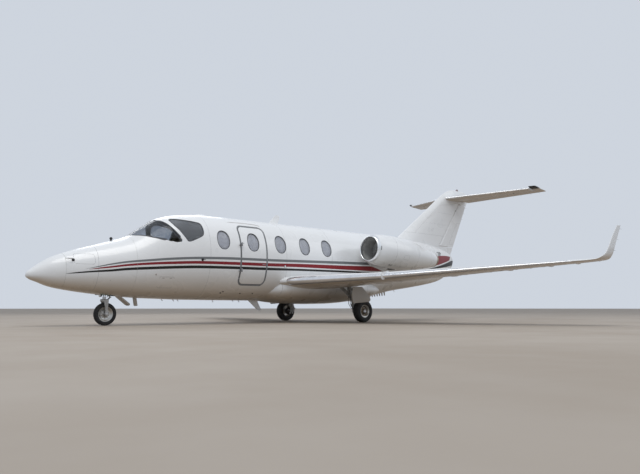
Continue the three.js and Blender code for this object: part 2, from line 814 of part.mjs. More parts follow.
const LIP_REAR = 80;
const DUCT_RADIUS = 298;
const CORE_RADIUS = 262;
const CORE_FRONT = 760;
const CORE_REAR = 1950;
const FAN = { front: 430, rear: 530, radius: 284, hub: 95, blades: 12 };
const SHAFT = { radius: 34, front: 390, rear: 700 };
const SHAFT_PLAY = 1.2;

const NACELLE_END = 2680;
const NACELLE_OUTSIDE = [
  [LIP_REAR, 356],
  [200, 384],
  [450, 412],
  [850, 428],
  [1150, 424],
  [1500, 390],
  [1850, 342],
  [2200, 280],
  [2500, 220],
  [NACELLE_END, 196],
];
const nacelleShape = turnedShape([
  ...NACELLE_OUTSIDE,
  [NACELLE_END, 180],
  [CORE_REAR + 60, 225],
  [CORE_REAR, CORE_RADIUS],
  [CORE_FRONT, CORE_RADIUS],
  [CORE_FRONT, DUCT_RADIUS],
  [LIP_REAR, DUCT_RADIUS],
  NACELLE_OUTSIDE[0],
]);
const lipShape = turnedShape([
  [LIP_REAR - SEAT, 356],
  [35, 343],
  [8, 325],
  [0, 312],
  [12, 300],
  [40, 296],
  [LIP_REAR - SEAT, 298],
  [LIP_REAR - SEAT, 356],
]);
const coreShape = turnedShape([
  [SHAFT.front, 0],
  [SHAFT.front, SHAFT.radius],
  [SHAFT.rear, SHAFT.radius],
  [SHAFT.rear, 150],
  [CORE_FRONT + 40, CORE_RADIUS - SEAT],
  [CORE_REAR - 60, CORE_RADIUS - SEAT],
  [CORE_REAR + 60, 200],
  [2600, 168],
  [2745, 162],
  [2745, 152],
  [2600, 156],
  [2250, 170],
  [2250, 90],
  [2500, 0],
]);
const spinnerShape = turnedShape([
  [240, 0],
  [270, 34],
  [330, 66],
  [FAN.front, FAN.hub],
  [FAN.rear, FAN.hub],
  [FAN.rear, SHAFT.radius + SHAFT_PLAY],
  [SHAFT.front - SEAT, SHAFT.radius + SHAFT_PLAY],
  [SHAFT.front - SEAT, 0],
]);

// A fan blade: a twisted slab from the hub to just inside the duct.
function fanBlade(index) {
  const rings = [FAN.hub - 8, FAN.radius].map((radius, k) => {
    const twist = (28 + 30 * k) * RAD;
    const half = 40 + 10 * k;
    const thick = 7 - 3 * k;
    return [
      [-half, -thick],
      [half, -thick],
      [half, thick],
      [-half, thick],
    ].map(([a, b]) => {
      const x = a * Math.cos(twist) - b * Math.sin(twist);
      const y = a * Math.sin(twist) + b * Math.cos(twist);
      return new THREE.Vector3(x - (FAN.front + FAN.rear) / 2, y, radius);
    });
  });
  return loft(rings).rotate([(360 * index) / FAN.blades, 0, 0]);
}
const fanShape = joined(spinnerShape, ...Array.from({ length: FAN.blades }, (_, i) => fanBlade(i)));

function engineMatrix(side) {
  const place = [xAt(ENGINE.station), side * ENGINE.side, ENGINE.height];
  const tilt = new THREE.Matrix4().makeRotationY(-ENGINE.tilt * RAD);
  return new THREE.Matrix4().makeTranslation(...place).multiply(tilt);
}

// Pylon: a short thick foil from the fuselage to the nacelle: [y, front, rear, height, thickness]
const PYLON = [
  [350, 8350, 10700, 1800, 250],
  [1285, 8650, 10500, 1780, 170],
];
function pylonRing([y, front, rear, height, thick]) {
  const chord = rear - front;
  const along = new THREE.Vector3(-1, 0, -0.05).normalize();
  const place = new THREE.Vector3(xAt(front), y, height + 40);
  return foilRing(place, chord, thick / chord, along, new THREE.Vector3(0, 0, 1));
}
const nacelleFilled = turnedShape([
  [LIP_REAR, 0],
  ...NACELLE_OUTSIDE.map(([back, radius]) => [back, radius + CLEAR]),
  [NACELLE_END, 0],
]);
const pylonPort = loft(PYLON.map(pylonRing))
  .subtract(hull(7500, 11500, -CLEAR))
  .subtract(nacelleFilled.transform(engineMatrix(PORT).elements));
for (const [name, side] of SIDES) {
  const engine = new THREE.Group();
  engine.applyMatrix4(engineMatrix(side));
  jet.add(engine);
  add("nacelle_" + name, nacelleShape, WHITE, engine);
  add("intake_lip_" + name, lipShape, POLISHED, engine);
  add("fan_" + name, fanShape, DARK, engine);
  add("engine_" + name, coreShape, STEEL, engine);
  add("pylon_" + name, forSide(pylonPort, side), WHITE);
}

// Wheels: turned about the axle, which lies along Y, and standing on a flat facet.
function wheelShape(profile) {
  const points = profile.map(([across, radius]) => new THREE.Vector2(radius, across));
  const start = Math.PI / WHEEL_FACETS;
  const made = solid(new THREE.LatheGeometry(points, WHEEL_FACETS, start));
  if (made.volume() > 0) return made;
  return solid(new THREE.LatheGeometry(points.reverse(), WHEEL_FACETS, start));
}

function tyreProfile({ radius: flat, width, rim }) {
  const half = width / 2;
  const radius = flat / Math.cos(Math.PI / WHEEL_FACETS);
  return [
    [-half * 0.72, rim],
    [-half, (radius + rim) / 2 - 10],
    [-half * 0.93, radius * 0.86],
    [-half * 0.66, radius * 0.975],
    [-half * 0.3, radius],
    [half * 0.3, radius],
    [half * 0.66, radius * 0.975],
    [half * 0.93, radius * 0.86],
    [half, (radius + rim) / 2 - 10],
    [half * 0.72, rim],
    [-half * 0.72, rim],
  ];
}

function rimProfile({ width, rim }, bore) {
  const half = width * 0.36;
  const outside = rim - SEAT;
  return [
    [-half, outside],
    [half, outside],
    [half, outside - 16],
    [half * 0.4, outside - 30],
    [half * 0.4, 58],
    [half * 0.95, 50],
    [half * 0.95, bore],
    [-half * 0.95, bore],
    [-half * 0.95, 50],
    [-half * 0.4, 58],
    [-half * 0.4, outside - 30],
    [-half, outside - 16],
    [-half, outside],
  ];
}

const AXLE = 26;
const NOSE_AXLE = 17;
function addWheel(name, tyre, bore, station, y) {
  const wheel = new THREE.Group();
  wheel.position.set(xAt(station), y, tyre.radius);
  jet.add(wheel);
  add(name + "_rim", wheelShape(rimProfile(tyre, bore)), POLISHED, wheel);
  add(name + "_tyre", wheelShape(tyreProfile(tyre)), RUBBER, wheel);
}

// Main landing gear, port: the strut leans back from its trunnion inside the wing to the axle.
const TRUNNION = { station: 7190, y: 1225, z: 990 };
const ELBOW = { station: 7372, z: 420 };
const LEG = { radius: 46, well: 64, piston: 36, knee: 40, arm: 14, brake: 98 };
const LEG_DOOR_Y = 1615;
const LEG_DOOR_THICK = 14;
const trunnion = [xAt(TRUNNION.station), TRUNNION.y, TRUNNION.z];
const elbow = [xAt(ELBOW.station), TRUNNION.y, ELBOW.z];
const axleInner = [xAt(MAIN_WHEEL.station), TRUNNION.y, TYRE.radius];
const axleOuter = [xAt(MAIN_WHEEL.station), MAIN_WHEEL.side + 92, TYRE.radius];
const wellDirection = new THREE.Vector3(...elbow).sub(new THREE.Vector3(...trunnion)).normalize();
const wellTop = new THREE.Vector3(...trunnion).addScaledVector(wellDirection, -SEAT);
const legWell = bar(wellTop.toArray(), elbow, LEG.well, 16);

function mainLeg() {
  const [inner, outer] = [TRUNNION.y - LEG.radius, TRUNNION.y + LEG.radius];
  const strut = bar(trunnion, elbow, LEG.radius, 16);
  const piston = bar(elbow, axleInner, LEG.piston);
  const knee = bar([elbow[0], inner, elbow[2]], [elbow[0], outer, elbow[2]], LEG.knee);
  const axle = bar([axleInner[0], inner, TYRE.radius], axleOuter, AXLE - SEAT, 16);
  const brakeStart = [axleInner[0], TRUNNION.y + 20, TYRE.radius];
  const brakeEnd = [axleInner[0], MAIN_WHEEL.side - 100, TYRE.radius];
  const brake = bar(brakeStart, brakeEnd, LEG.brake, 16);
  const arms = [0.3, 0.62].map((share) => {
    const p = new THREE.Vector3(...trunnion).lerp(new THREE.Vector3(...elbow), share);
    return bar([p.x, p.y, p.z], [p.x, LEG_DOOR_Y - SEAT, p.z], LEG.arm, 8);
  });
  return joined(strut, piston, knee, axle, brake, ...arms);
}
const LEG_DOOR_OUTLINE = [
  [6967, 850],
  [7278, 862],
  [7512, 657],
  [7582, 549],
  [7521, 496],
  [6963, 460],
  [6924, 650],
];
const legDoor = sidePrism(LEG_DOOR_OUTLINE, LEG_DOOR_Y, LEG_DOOR_Y + LEG_DOOR_THICK);

const wingFinished = wing.subtract(pinHolesOn(flapEnds)).subtract(legWell);
const flapFinished = flap.add(pinsOn(flapEnds));
for (const [name, side] of SIDES) {
  add("wing_" + name, forSide(wingFinished, side), WHITE);
  add("flap_" + name, forSide(flapFinished, side), WHITE);
  add("main_leg_" + name, forSide(mainLeg(), side), STEEL);
  add("leg_door_" + name, forSide(legDoor, side), WHITE);
  addWheel("main_wheel_" + name, TYRE, AXLE, MAIN_WHEEL.station, side * MAIN_WHEEL.side);
}

// Nose landing gear: a fixed leg, and a fork that turns about it and carries the wheel.
const STEER_STATION = 1522;
const NOSE_LEG = { radius: 42, crossHalf: 45, crossBottom: 760, crossTop: 800 };
const CROWN = { top: 528, bottom: 474 };
const steerX = xAt(STEER_STATION);
const noseX = xAt(NOSE_WHEEL_STATION);
const noseLeg = joined(
  bar([steerX, 0, BAY.top - SEAT], [steerX, 0, CROWN.top + SEAT], NOSE_LEG.radius, 16),
  boxOf(
    STEER_STATION - NOSE_LEG.crossHalf,
    STEER_STATION + NOSE_LEG.crossHalf,
    -BAY.half + SEAT,
    BAY.half - SEAT,
    NOSE_LEG.crossBottom,
    NOSE_LEG.crossTop,
  ),
);
const FORK = { inner: 67, outer: 83, halfWidth: 26, below: 30, front: 1472, rear: 1584 };
const forkArm = boxOf(
  NOSE_WHEEL_STATION - FORK.halfWidth,
  NOSE_WHEEL_STATION + FORK.halfWidth,
  FORK.inner,
  FORK.outer,
  NOSE_TYRE.radius - FORK.below,
  CROWN.top - 10,
);
const axleEnds = [-FORK.inner - SEAT, FORK.inner + SEAT].map((y) => [noseX, y, NOSE_TYRE.radius]);
const fork = joined(
  boxOf(FORK.front, FORK.rear, -FORK.outer, FORK.outer, CROWN.bottom, CROWN.top),
  forkArm,
  mirrored(forkArm),
  bar(...axleEnds, NOSE_AXLE - SEAT, 16),
);
add("nose_leg", noseLeg, STEEL);
add("nose_fork", fork, STEEL);
addWheel("nose_wheel", NOSE_TYRE, NOSE_AXLE, NOSE_WHEEL_STATION, 0);

// Nose-gear doors: two panels that hang from the belly behind the wheel.
const hullGrown = joined(
  hull(CONE_END + SEAT, CABIN_START - SEAT, -CLEAR),
  hull(CABIN_START, CABIN_END, -CLEAR),
);
const FRONT_DOOR = [
  [1712, 640],
  [1742, 660],
  [2045, 408],
  [2030, 396],
];
const FRONT_DOOR_HALF = 100;
const REAR_DOOR = [
  [2150, 620],
  [2168, 620],
  [2212, 392],
  [2194, 390],
];
const REAR_DOOR_HALF = 75;
const hanging = (outline, half) => sidePrism(outline, -half, half).subtract(hullGrown);
add("nose_gear_door_front", hanging(FRONT_DOOR, FRONT_DOOR_HALF), WHITE);
add("nose_gear_door_rear", hanging(REAR_DOOR, REAR_DOOR_HALF), WHITE);

// Cabin: everything inside keeps clear of the wall by a seat's gap.
const roomFront = CABIN_START + BULKHEAD + SEAT;
const roomRear = CABIN_END - BULKHEAD - SEAT;
const roomy = hull(roomFront, roomRear, WALL + SEAT);
const floorSlab = boxOf(CABIN_START, CABIN_END, -OUTSIDE, OUTSIDE, FLOOR_TOP - FLOOR_THICK, FLOOR_TOP);
add("cabin_floor", floorSlab.intersect(roomy), CARPET);

const standing = FLOOR_TOP + SEAT;
const PANEL_SIDE = [
  [2330, 1120],
  [2330, 1610],
  [2620, 1640],
  [2600, 1560],
  [2520, 1120],
];
const PANEL_HALF = 560;
const PEDESTAL = { front: 2380, rear: 3020, half: 130, top: 1180 };
const pedestal = boxOf(
  PEDESTAL.front,
  PEDESTAL.rear,
  -PEDESTAL.half,
  PEDESTAL.half,
  standing,
  PEDESTAL.top,
);
const instrumentPanel = sidePrism(PANEL_SIDE, -PANEL_HALF, PANEL_HALF).add(pedestal);
add("instrument_panel", instrumentPanel.intersect(roomy), PANEL);

// A seat seen from the side, facing forward, with its feet on the floor: [station, height] offsets
const SEAT_SIDE = [
  [-230, 400],
  [-215, 470],
  [170, 450],
  [300, 1080],
  [380, 1070],
  [300, 380],
  [120, 340],
  [100, 0],
  [-130, 0],
  [-150, 340],
];
function seatSolid(station, y0, y1, facing) {
  const outline = SEAT_SIDE.map(([s, z]) => [station + s * facing, standing + z]);
  const ordered = facing > 0 ? outline : outline.reverse();
  return sidePrism(ordered, y0, y1);
}
const PILOT = { station: 3150, inner: 160, outer: 560 };
const pilotSeat = seatSolid(PILOT.station, PILOT.inner, PILOT.outer, 1).intersect(roomy);
add("pilot_seat", pilotSeat, LEATHER);
add("copilot_seat", mirrored(pilotSeat), LEATHER);

const SEAT_ROWS = [
  [5450, -1],
  [6650, 1],
  [7650, 1],
];
const SEAT_INNER = 190;
const SEAT_OUTER = 620;
const RAIL = { front: 5000, rear: 7900, inner: 400, outer: 420, thick: 14, cross: 6400, width: 40 };
const railTop = standing + RAIL.thick;
const rail = boxOf(RAIL.front, RAIL.rear, RAIL.inner, RAIL.outer, standing, railTop);
const crossStart = RAIL.cross;
const crossEnd = RAIL.cross + RAIL.width;
const crossRail = boxOf(crossStart, crossEnd, -RAIL.outer, RAIL.outer, standing, railTop);
const portSeats = SEAT_ROWS.map(([station, facing]) =>
  seatSolid(station, SEAT_INNER, SEAT_OUTER, facing),
);
const portSide = joined(rail, ...portSeats);
add("cabin_seats", joined(portSide, mirrored(portSide), crossRail).intersect(roomy), LEATHER);

export default jet;
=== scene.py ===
# The looks of a light twin-engine business jet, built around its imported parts.
# Shapes are worked out in millimetres and written in metres. +X is the nose, +Y is port, +Z is up.
# A station is a distance aft of the nose tip.
import math
from collections import namedtuple
from itertools import product

import bpy
import numpy as np
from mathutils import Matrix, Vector


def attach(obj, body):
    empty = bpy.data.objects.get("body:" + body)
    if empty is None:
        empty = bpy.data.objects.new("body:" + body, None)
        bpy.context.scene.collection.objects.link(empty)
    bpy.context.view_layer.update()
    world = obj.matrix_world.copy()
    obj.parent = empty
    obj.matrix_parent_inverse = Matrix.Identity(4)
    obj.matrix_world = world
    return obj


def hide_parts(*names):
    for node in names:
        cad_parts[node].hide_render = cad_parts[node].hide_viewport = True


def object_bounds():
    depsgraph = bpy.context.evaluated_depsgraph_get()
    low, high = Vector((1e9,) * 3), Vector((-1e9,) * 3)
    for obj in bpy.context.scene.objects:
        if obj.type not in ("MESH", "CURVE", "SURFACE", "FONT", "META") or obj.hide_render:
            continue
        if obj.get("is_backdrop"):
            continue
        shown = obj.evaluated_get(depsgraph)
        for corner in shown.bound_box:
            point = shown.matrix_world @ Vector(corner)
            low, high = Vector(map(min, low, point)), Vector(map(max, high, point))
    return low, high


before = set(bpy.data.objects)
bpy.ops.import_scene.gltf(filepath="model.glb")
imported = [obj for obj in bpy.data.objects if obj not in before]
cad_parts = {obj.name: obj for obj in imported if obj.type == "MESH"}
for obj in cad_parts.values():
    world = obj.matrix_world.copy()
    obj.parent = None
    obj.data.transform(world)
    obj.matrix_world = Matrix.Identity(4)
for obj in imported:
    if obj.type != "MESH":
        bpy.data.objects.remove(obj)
cad_low, cad_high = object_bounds()

MM = 0.001
NOSE_X = 7375.0
PORT, STARBOARD = 1, -1
SIGNS = (-1, 1)
SIDES = (("left", PORT), ("right", STARBOARD))
FORWARD, AFTWARD = (1, 0, 0), (-1, 0, 0)
TO_PORT = (0, 1, 0)
UP, DOWN = (0, 0, 1), (0, 0, -1)
EVERYWHERE = (-1e9, 1e9)


def x_at(station):
    return NOSE_X - station


# Curves and outlines


def hermite(start, end, slope_start, slope_end, t):
    """The cubic from start to end with a slope at each, for t from 0 to 1."""
    return (
        start * (2 * t**3 - 3 * t**2 + 1)
        + slope_start * (t**3 - 2 * t**2 + t)
        + end * (3 * t**2 - 2 * t**3)
        + slope_end * (t**3 - t**2)
    )


def pchip(table, column, place):
    """A smooth monotone curve through one column of a table, at each place."""
    rows = np.asarray(table, float)
    x, y = rows[:, 0], rows[:, column]
    place = np.clip(np.asarray(place, float), x[0], x[-1])
    slope = np.diff(y) / np.diff(x)
    tangent = np.zeros(len(x))
    tangent[0], tangent[-1] = slope[0], slope[-1]
    before, after = slope[:-1], slope[1:]
    same = before * after > 0
    total = np.where(same, before + after, 1.0)
    tangent[1:-1] = np.where(same, 2 * before * after / total, 0.0)
    k = np.clip(np.searchsorted(x, place, side="right") - 1, 0, len(x) - 2)
    width = x[k + 1] - x[k]
    return hermite(y[k], y[k + 1], tangent[k] * width, tangent[k + 1] * width, (place - x[k]) / width)


def interpolated(table, place):
    """All columns of a table after the first, at a place, joined by straight lines."""
    rows = np.array(table, float)
    return [float(np.interp(place, rows[:, 0], rows[:, c])) for c in range(1, rows.shape[1])]


def smooth_curve(points, steps, tension=0.5, closed=False):
    """A curve through points, as short sides."""
    p = np.asarray(points, float)
    ends = ([p[-1]], [p[0], p[1]]) if closed else ([2 * p[0] - p[1]], [2 * p[-1] - p[-2]])
    row = [*ends[0], *p, *ends[1]]
    out = []
    for a, b, c, d in zip(row, row[1:], row[2:], row[3:]):
        for t in np.linspace(0, 1, steps, endpoint=False):
            out.append(hermite(b, c, tension * (c - a), tension * (d - b), t))
    return np.array(out if closed else [*out, p[-1]])


def rounded_outline(points, radius, steps=6):
    """A closed polygon with its corners rounded off."""
    p = np.asarray(points, float)
    out = []
    for i, b in enumerate(p):
        u, v = p[i - 1] - b, p[(i + 1) % len(p)] - b
        u_length, v_length = np.linalg.norm(u), np.linalg.norm(v)
        reach = min(radius, 0.45 * u_length, 0.45 * v_length)
        start, end = b + u / u_length * reach, b + v / v_length * reach
        for t in np.linspace(0, 1, steps):
            out.append((1 - t) ** 2 * start + 2 * t * (1 - t) * b + t**2 * end)
    return np.array(out)


def outline_distance(outline, x, y):
    """Distance to a closed outline, negative inside it."""
    px, py = np.asarray(x, float).ravel(), np.asarray(y, float).ravel()
    best = np.full(len(px), 1e18)
    inside = np.zeros(len(px), bool)
    for (ax, ay), (bx, by) in zip(outline, np.roll(outline, -1, axis=0)):
        ex, ey = bx - ax, by - ay
        wx, wy = px - ax, py - ay
        t = np.clip((wx * ex + wy * ey) / max(ex * ex + ey * ey, 1e-12), 0, 1)
        best = np.minimum(best, (wx - ex * t) ** 2 + (wy - ey * t) ** 2)
        crosses = (ay > py) != (by > py)
        if abs(by - ay) > 1e-12:
            inside ^= crosses & (px < (bx - ax) * (py - ay) / (by - ay) + ax)
    return np.where(inside, -1, 1) * np.sqrt(best)


def box_distance(s0, s1, z0, z1, corner, x, z):
    """Distance to a rectangle with round corners, negative inside it."""
    u = np.abs(x - (s0 + s1) / 2) - (s1 - s0) / 2 + corner
    v = np.abs(z - (z0 + z1) / 2) - (z1 - z0) / 2 + corner
    outside = np.hypot(np.maximum(u, 0), np.maximum(v, 0))
    return outside + np.minimum(np.maximum(u, v), 0) - corner


# The fuselage's surface

TABLE_STEP = 5.0


def softened(places, values, start, end, passes):
    """Evens out a sampled curve between two places, less towards its ends."""
    free = np.clip((places - start) / 600, 0, 1) * np.clip((end - places) / 500, 0, 1)
    values = values.copy()
    for _ in range(passes):
        second = values[:-2] - 2 * values[1:-1] + values[2:]
        values[1:-1] += 0.25 * free[1:-1] * second
    return values


class Hull:
    """A body of superellipse sections: rows of station, top, bottom, half width and waist height."""

    def __init__(self, table, roundness=2.2, passes=0):
        start, end = table[0][0], table[-1][0]
        self.places = np.arange(start, end + TABLE_STEP, TABLE_STEP)
        self.columns = []
        for column in (1, 2, 3, 4):
            values = pchip(table, column, self.places)
            self.columns.append(softened(self.places, values, start + 150, end, passes))
        self.power = roundness

    def sizes(self, station):
        return [np.interp(station, self.places, values) for values in self.columns]

    def bottom(self, station):
        return float(self.sizes(station)[1])

    def point(self, station, turn, inset=0.0):
        """Turn runs 0 to 1 round the section from the keel by port, roof and starboard."""
        station, turn = np.asarray(station, float), np.asarray(turn, float)
        top, bottom, half, waist = self.sizes(station)
        angle = (turn - 0.25) * 2 * math.pi
        c, s = np.cos(angle), np.sin(angle)
        reach = np.where(s > 0, top - waist, waist - bottom)
        reach_in = reach - np.minimum(inset, 0.5 * reach)
        half_in = half - np.minimum(inset, 0.5 * half)
        out = (np.abs(c) ** self.power + np.abs(s) ** self.power) ** (-1 / self.power)
        return np.stack([x_at(station), half_in * c * out, waist + reach_in * s * out], -1)

    def ring(self, station, count, inset=0.0):
        return self.point(np.full(count, float(station)), np.linspace(0, 1, count, endpoint=False), inset)

    def normal(self, station, turn):
        ds, dt = 10.0, 0.002
        first, last = self.places[0] + 1, self.places[-1] - 1
        low, high = np.clip(station - ds, first, last), np.clip(station + ds, first, last)
        along = self.point(high, turn) - self.point(low, turn)
        around = self.point(station, turn + dt) - self.point(station, turn - dt)
        cross = np.cross(along, around)
        return cross / np.maximum(np.linalg.norm(cross, axis=-1, keepdims=True), 1e-9)

    def side_turn(self, station, height):
        """The turn on the port side at which the section reaches a height."""
        top, bottom, _, waist = self.sizes(station)
        reach = np.where(height > waist, top - waist, waist - bottom)
        share = np.clip((height - waist) / reach, -0.999, 0.999)
        across = (1 - np.abs(share) ** self.power) ** (1 / self.power)
        return np.arctan2(share, across) / (2 * math.pi) + 0.25

    def half_at(self, station, height):
        """The half width of the section at a height."""
        return float(self.point(station, self.side_turn(station, height))[1])

    def outside(self, station, y, z):
        """About how far a place is outside the body, negative inside it."""
        top, bottom, half, waist = self.sizes(station)
        reach = np.where(z > waist, top - waist, waist - bottom)
        across, up = np.abs(y) / half, np.abs(z - waist) / reach
        size = (across**self.power + up**self.power) ** (1 / self.power)
        return (size - 1) * np.minimum(half, reach)


# Station, top, bottom, half width, height of the widest point
HULL_ROWS = [
    [0, 961, 959, 1, 960],
    [12, 1004, 928, 42, 962],
    [40, 1034, 905, 80, 966],
    [100, 1086, 871, 126, 974],
    [200, 1167, 837, 184, 988],
    [430, 1316, 752, 292, 1030],
    [900, 1496, 671, 440, 1085],
    [1390, 1645, 616, 560, 1140],
    [1960, 1838, 570, 675, 1215],
    [2130, 1965, 559, 704, 1250],
    [2300, 2076, 552, 730, 1290],
    [2630, 2276, 544, 770, 1370],
    [3060, 2374, 532, 812, 1430],
    [3600, 2426, 528, 836, 1460],
    [4200, 2432, 526, 840, 1465],
    [8500, 2432, 530, 840, 1465],
    [9200, 2430, 690, 775, 1540],
    [9900, 2420, 825, 690, 1610],
    [10950, 2385, 965, 540, 1700],
    [11550, 2345, 1050, 445, 1750],
    [12200, 2270, 1170, 325, 1800],
    [12650, 2185, 1330, 225, 1830],
    [13000, 2070, 1590, 120, 1850],
    [13150, 1960, 1800, 40, 1880],
]
FAIRING_ROWS = [
    [5060, 760, 640, 360, 700],
    [5350, 960, 560, 640, 800],
    [5600, 1130, 500, 868, 850],
    [6100, 1175, 462, 960, 860],
    [6700, 1185, 450, 980, 860],
    [7400, 1180, 462, 970, 860],
    [8000, 1150, 505, 920, 860],
    [8600, 1080, 595, 790, 850],
    [9150, 975, 730, 480, 860],
]
hull = Hull(HULL_ROWS, passes=500)
fairing = Hull(FAIRING_ROWS, passes=300)
HULL_END = HULL_ROWS[-1][0]
CONE_END, CABIN_START, CABIN_END = 620, 1900, 8450


# A sheet of skin: a grid of cells over a surface, split along curves, then made thick

# A place on a sheet: its two parameters (on the hull, station and turn) and its position
Spot = namedtuple("Spot", "u v x y z")


class Sheet:
    """Cells over a surface. body.point(u, v, inset) and body.normal(u, v) give the surface."""

    def __init__(self, body, us, vs, wrap=False):
        self.point, self.normal = body.point, body.normal
        us, vs = np.asarray(us, float), np.asarray(vs, float)
        nu, nv = len(us), len(vs)
        self.u, self.v = np.repeat(us, nv), np.tile(vs, nu)
        corners = [i * nv + j for i in range(nu - 1) for j in range(nv - 1)]
        self.polys = [[a, a + nv, a + nv + 1, a + 1] for a in corners]
        self.mats = [0] * len(corners)
        self.same = {i * nv + nv - 1: i * nv for i in range(nu)} if wrap else {}

    def spots(self, u, v):
        return Spot(u, v, *self.point(u, v).T)

    def split(self, field, span=EVERYWHERE):
        """Splits every cell that field(at) = 0 runs through. span limits the search in u."""
        near = (self.u >= span[0]) & (self.u <= span[1])
        f = np.ones(len(self.u))
        f[near] = field(self.spots(self.u[near], self.v[near]))
        sign, close = (f > 0).tolist(), near.tolist()
        made, polys, mats = {}, [], []
        for poly, mat in zip(self.polys, self.mats):
            if len({sign[i] for i in poly}) == 1 or not all(close[i] for i in poly):
                polys.append(poly)
                mats.append(mat)
                continue
            inner, outer = [], []
            for i, j in zip(poly, [*poly[1:], poly[0]]):
                (outer if sign[i] else inner).append(i)
                if sign[i] != sign[j]:
                    m = made.setdefault((min(i, j), max(i, j)), len(self.u) + len(made))
                    inner.append(m)
                    outer.append(m)
            for part in (inner, outer):
                if len(part) > 2:
                    polys.append(part)
                    mats.append(mat)
        self.polys, self.mats = polys, mats
        if made:
            self.add_crossings(field, f, *np.array(list(made)).T)

    def add_crossings(self, field, f, a, b):
        """New points where the field is 0 on the edges from points a to points b."""
        fa, fb = f[a], f[b]
        ta, tb = np.zeros(len(a)), np.ones(len(a))
        for _ in range(4):
            t = ta + (tb - ta) * fa / (fa - fb)
            u = self.u[a] + (self.u[b] - self.u[a]) * t
            v = self.v[a] + (self.v[b] - self.v[a]) * t
            ft = field(self.spots(u, v))
            left = (ft > 0) == (fa > 0)
            ta, fa = np.where(left, t, ta), np.where(left, ft, fa)
            tb, fb = np.where(left, tb, t), np.where(left, fb, ft)
            fa = np.where(fa == fb, fa + 1e-9, fa)
        self.u, self.v = np.concatenate([self.u, u]), np.concatenate([self.v, v])

    def chosen(self, test):
        """The cells whose middle passes a test."""
        count = np.array([len(p) for p in self.polys])
        flat = np.fromiter((i for p in self.polys for i in p), int, count.sum())
        index = np.repeat(np.arange(len(count)), count)
        u, v = (np.bincount(index, values[flat]) / count for values in (self.u, self.v))
        return np.flatnonzero(test(self.spots(u, v)))

    def paint(self, test, mat):
        for i in self.chosen(test):
            self.mats[i] = mat

    def paint_all(self, mat):
        self.mats = [mat] * len(self.mats)

    def keep(self, test):
        chosen = self.chosen(test)
        self.polys, self.mats = ([rows[i] for i in chosen] for rows in (self.polys, self.mats))

    def build(self, kit, outside=0.0, inside=3.0, inner_mat=None, rim_mat=None):
        """Adds the sheet to a kit with an outer face, an inner face and a rim."""
        merged = np.arange(len(self.u))
        for twin, first in self.same.items():
            merged[twin] = first
        polys = [[int(merged[i]) for i in p] for p in self.polys]
        used = sorted({i for p in polys for i in p})
        order = {i: k for k, i in enumerate(used)}
        n = len(used)
        u, v = self.u[used], self.v[used]
        points = np.concatenate([self.point(u, v, outside), self.point(u, v, inside)])
        normal = self.normal(u, v)
        faces, mats, normals, edges = [], [], [], {}
        for poly, mat in zip(polys, self.mats):
            face = [order[i] for i in poly]
            if len(set(face)) < 3:
                continue
            faces.append(face)
            mats.append(mat)
            normals.extend(normal[i] for i in face)
            for i, j in zip(face, [*face[1:], face[0]]):
                if (j, i) in edges:
                    del edges[(j, i)]
                else:
                    edges[(i, j)] = mat
        for face, mat in list(zip(faces, mats)):
            faces.append([i + n for i in reversed(face)])
            mats.append(mat if inner_mat is None else inner_mat)
            normals.extend(-normal[i] for i in reversed(face))
        for (i, j), mat in edges.items():
            across = np.cross(points[i] - points[j], points[i + n] - points[j])
            length = np.linalg.norm(across)
            across = across / length if length > 1e-9 else normal[i]
            faces.append([j, i, i + n, j + n])
            mats.append(mat if rim_mat is None else rim_mat)
            normals.extend([across] * 4)
        return kit.add(points, faces, mats, normals)


class Kit:
    """Collects shapes and makes mesh objects of them."""

    def __init__(self):
        self.points, self.faces, self.mats, self.normals = [], [], [], []
        self.count = 0
        self.given = False

    def add(self, points, faces, mats=0, normals=None):
        self.points.append(np.asarray(points, float))
        self.faces.extend([[i + self.count for i in f] for f in faces])
        self.mats.extend([mats] * len(faces) if isinstance(mats, int) else mats)
        self.count += len(points)
        if normals is None:
            normals = np.zeros((sum(len(f) for f in faces), 3))
        else:
            self.given = True
        self.normals.append(np.asarray(normals, float))
        return self

    def piece(self, name, body, slot, looks, replaces=(), angle=35.0, mirror=False):
        points = np.concatenate(self.points) * MM
        faces, normals = self.faces, np.concatenate(self.normals)
        if mirror:
            points = points * (1, -1, 1)
            corners = np.split(normals, np.cumsum([len(f) for f in faces])[:-1])
            normals = np.concatenate([rows[::-1] * (1, -1, 1) for rows in corners])
            faces = [f[::-1] for f in faces]
        mesh = bpy.data.meshes.new(name)
        mesh.from_pydata(points.tolist(), [], faces)
        for look in looks:
            mesh.materials.append(look)
        mesh.polygons.foreach_set("material_index", np.array(self.mats, np.int32))
        mesh.polygons.foreach_set("use_smooth", np.ones(len(faces), bool))
        mesh.update()
        mesh.set_sharp_from_angle(angle=math.radians(angle))
        if self.given:
            own = np.zeros(len(mesh.loops) * 3, np.float32)
            mesh.corner_normals.foreach_get("vector", own)
            own = own.reshape(-1, 3)
            set_here = np.linalg.norm(normals, axis=1) > 0.5
            own[set_here] = normals[set_here]
            mesh.normals_split_custom_set(own.tolist())
        ob = bpy.data.objects.new(name, mesh)
        bpy.context.scene.collection.objects.link(ob)
        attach(ob, body)
        if replaces:
            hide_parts(*replaces)
        return ob

    def pair(self, name, body, slot, looks, node):
        """The port piece and its mirror image. {} in a name stands for the side."""
        for side, sign in SIDES:
            names = (text.format(side) for text in (name, body))
            self.piece(*names, slot, looks, [node.format(side)], mirror=sign == STARBOARD)


# Solid shapes


def unit(vector):
    vector = np.asarray(vector, float)
    return vector / np.linalg.norm(vector)


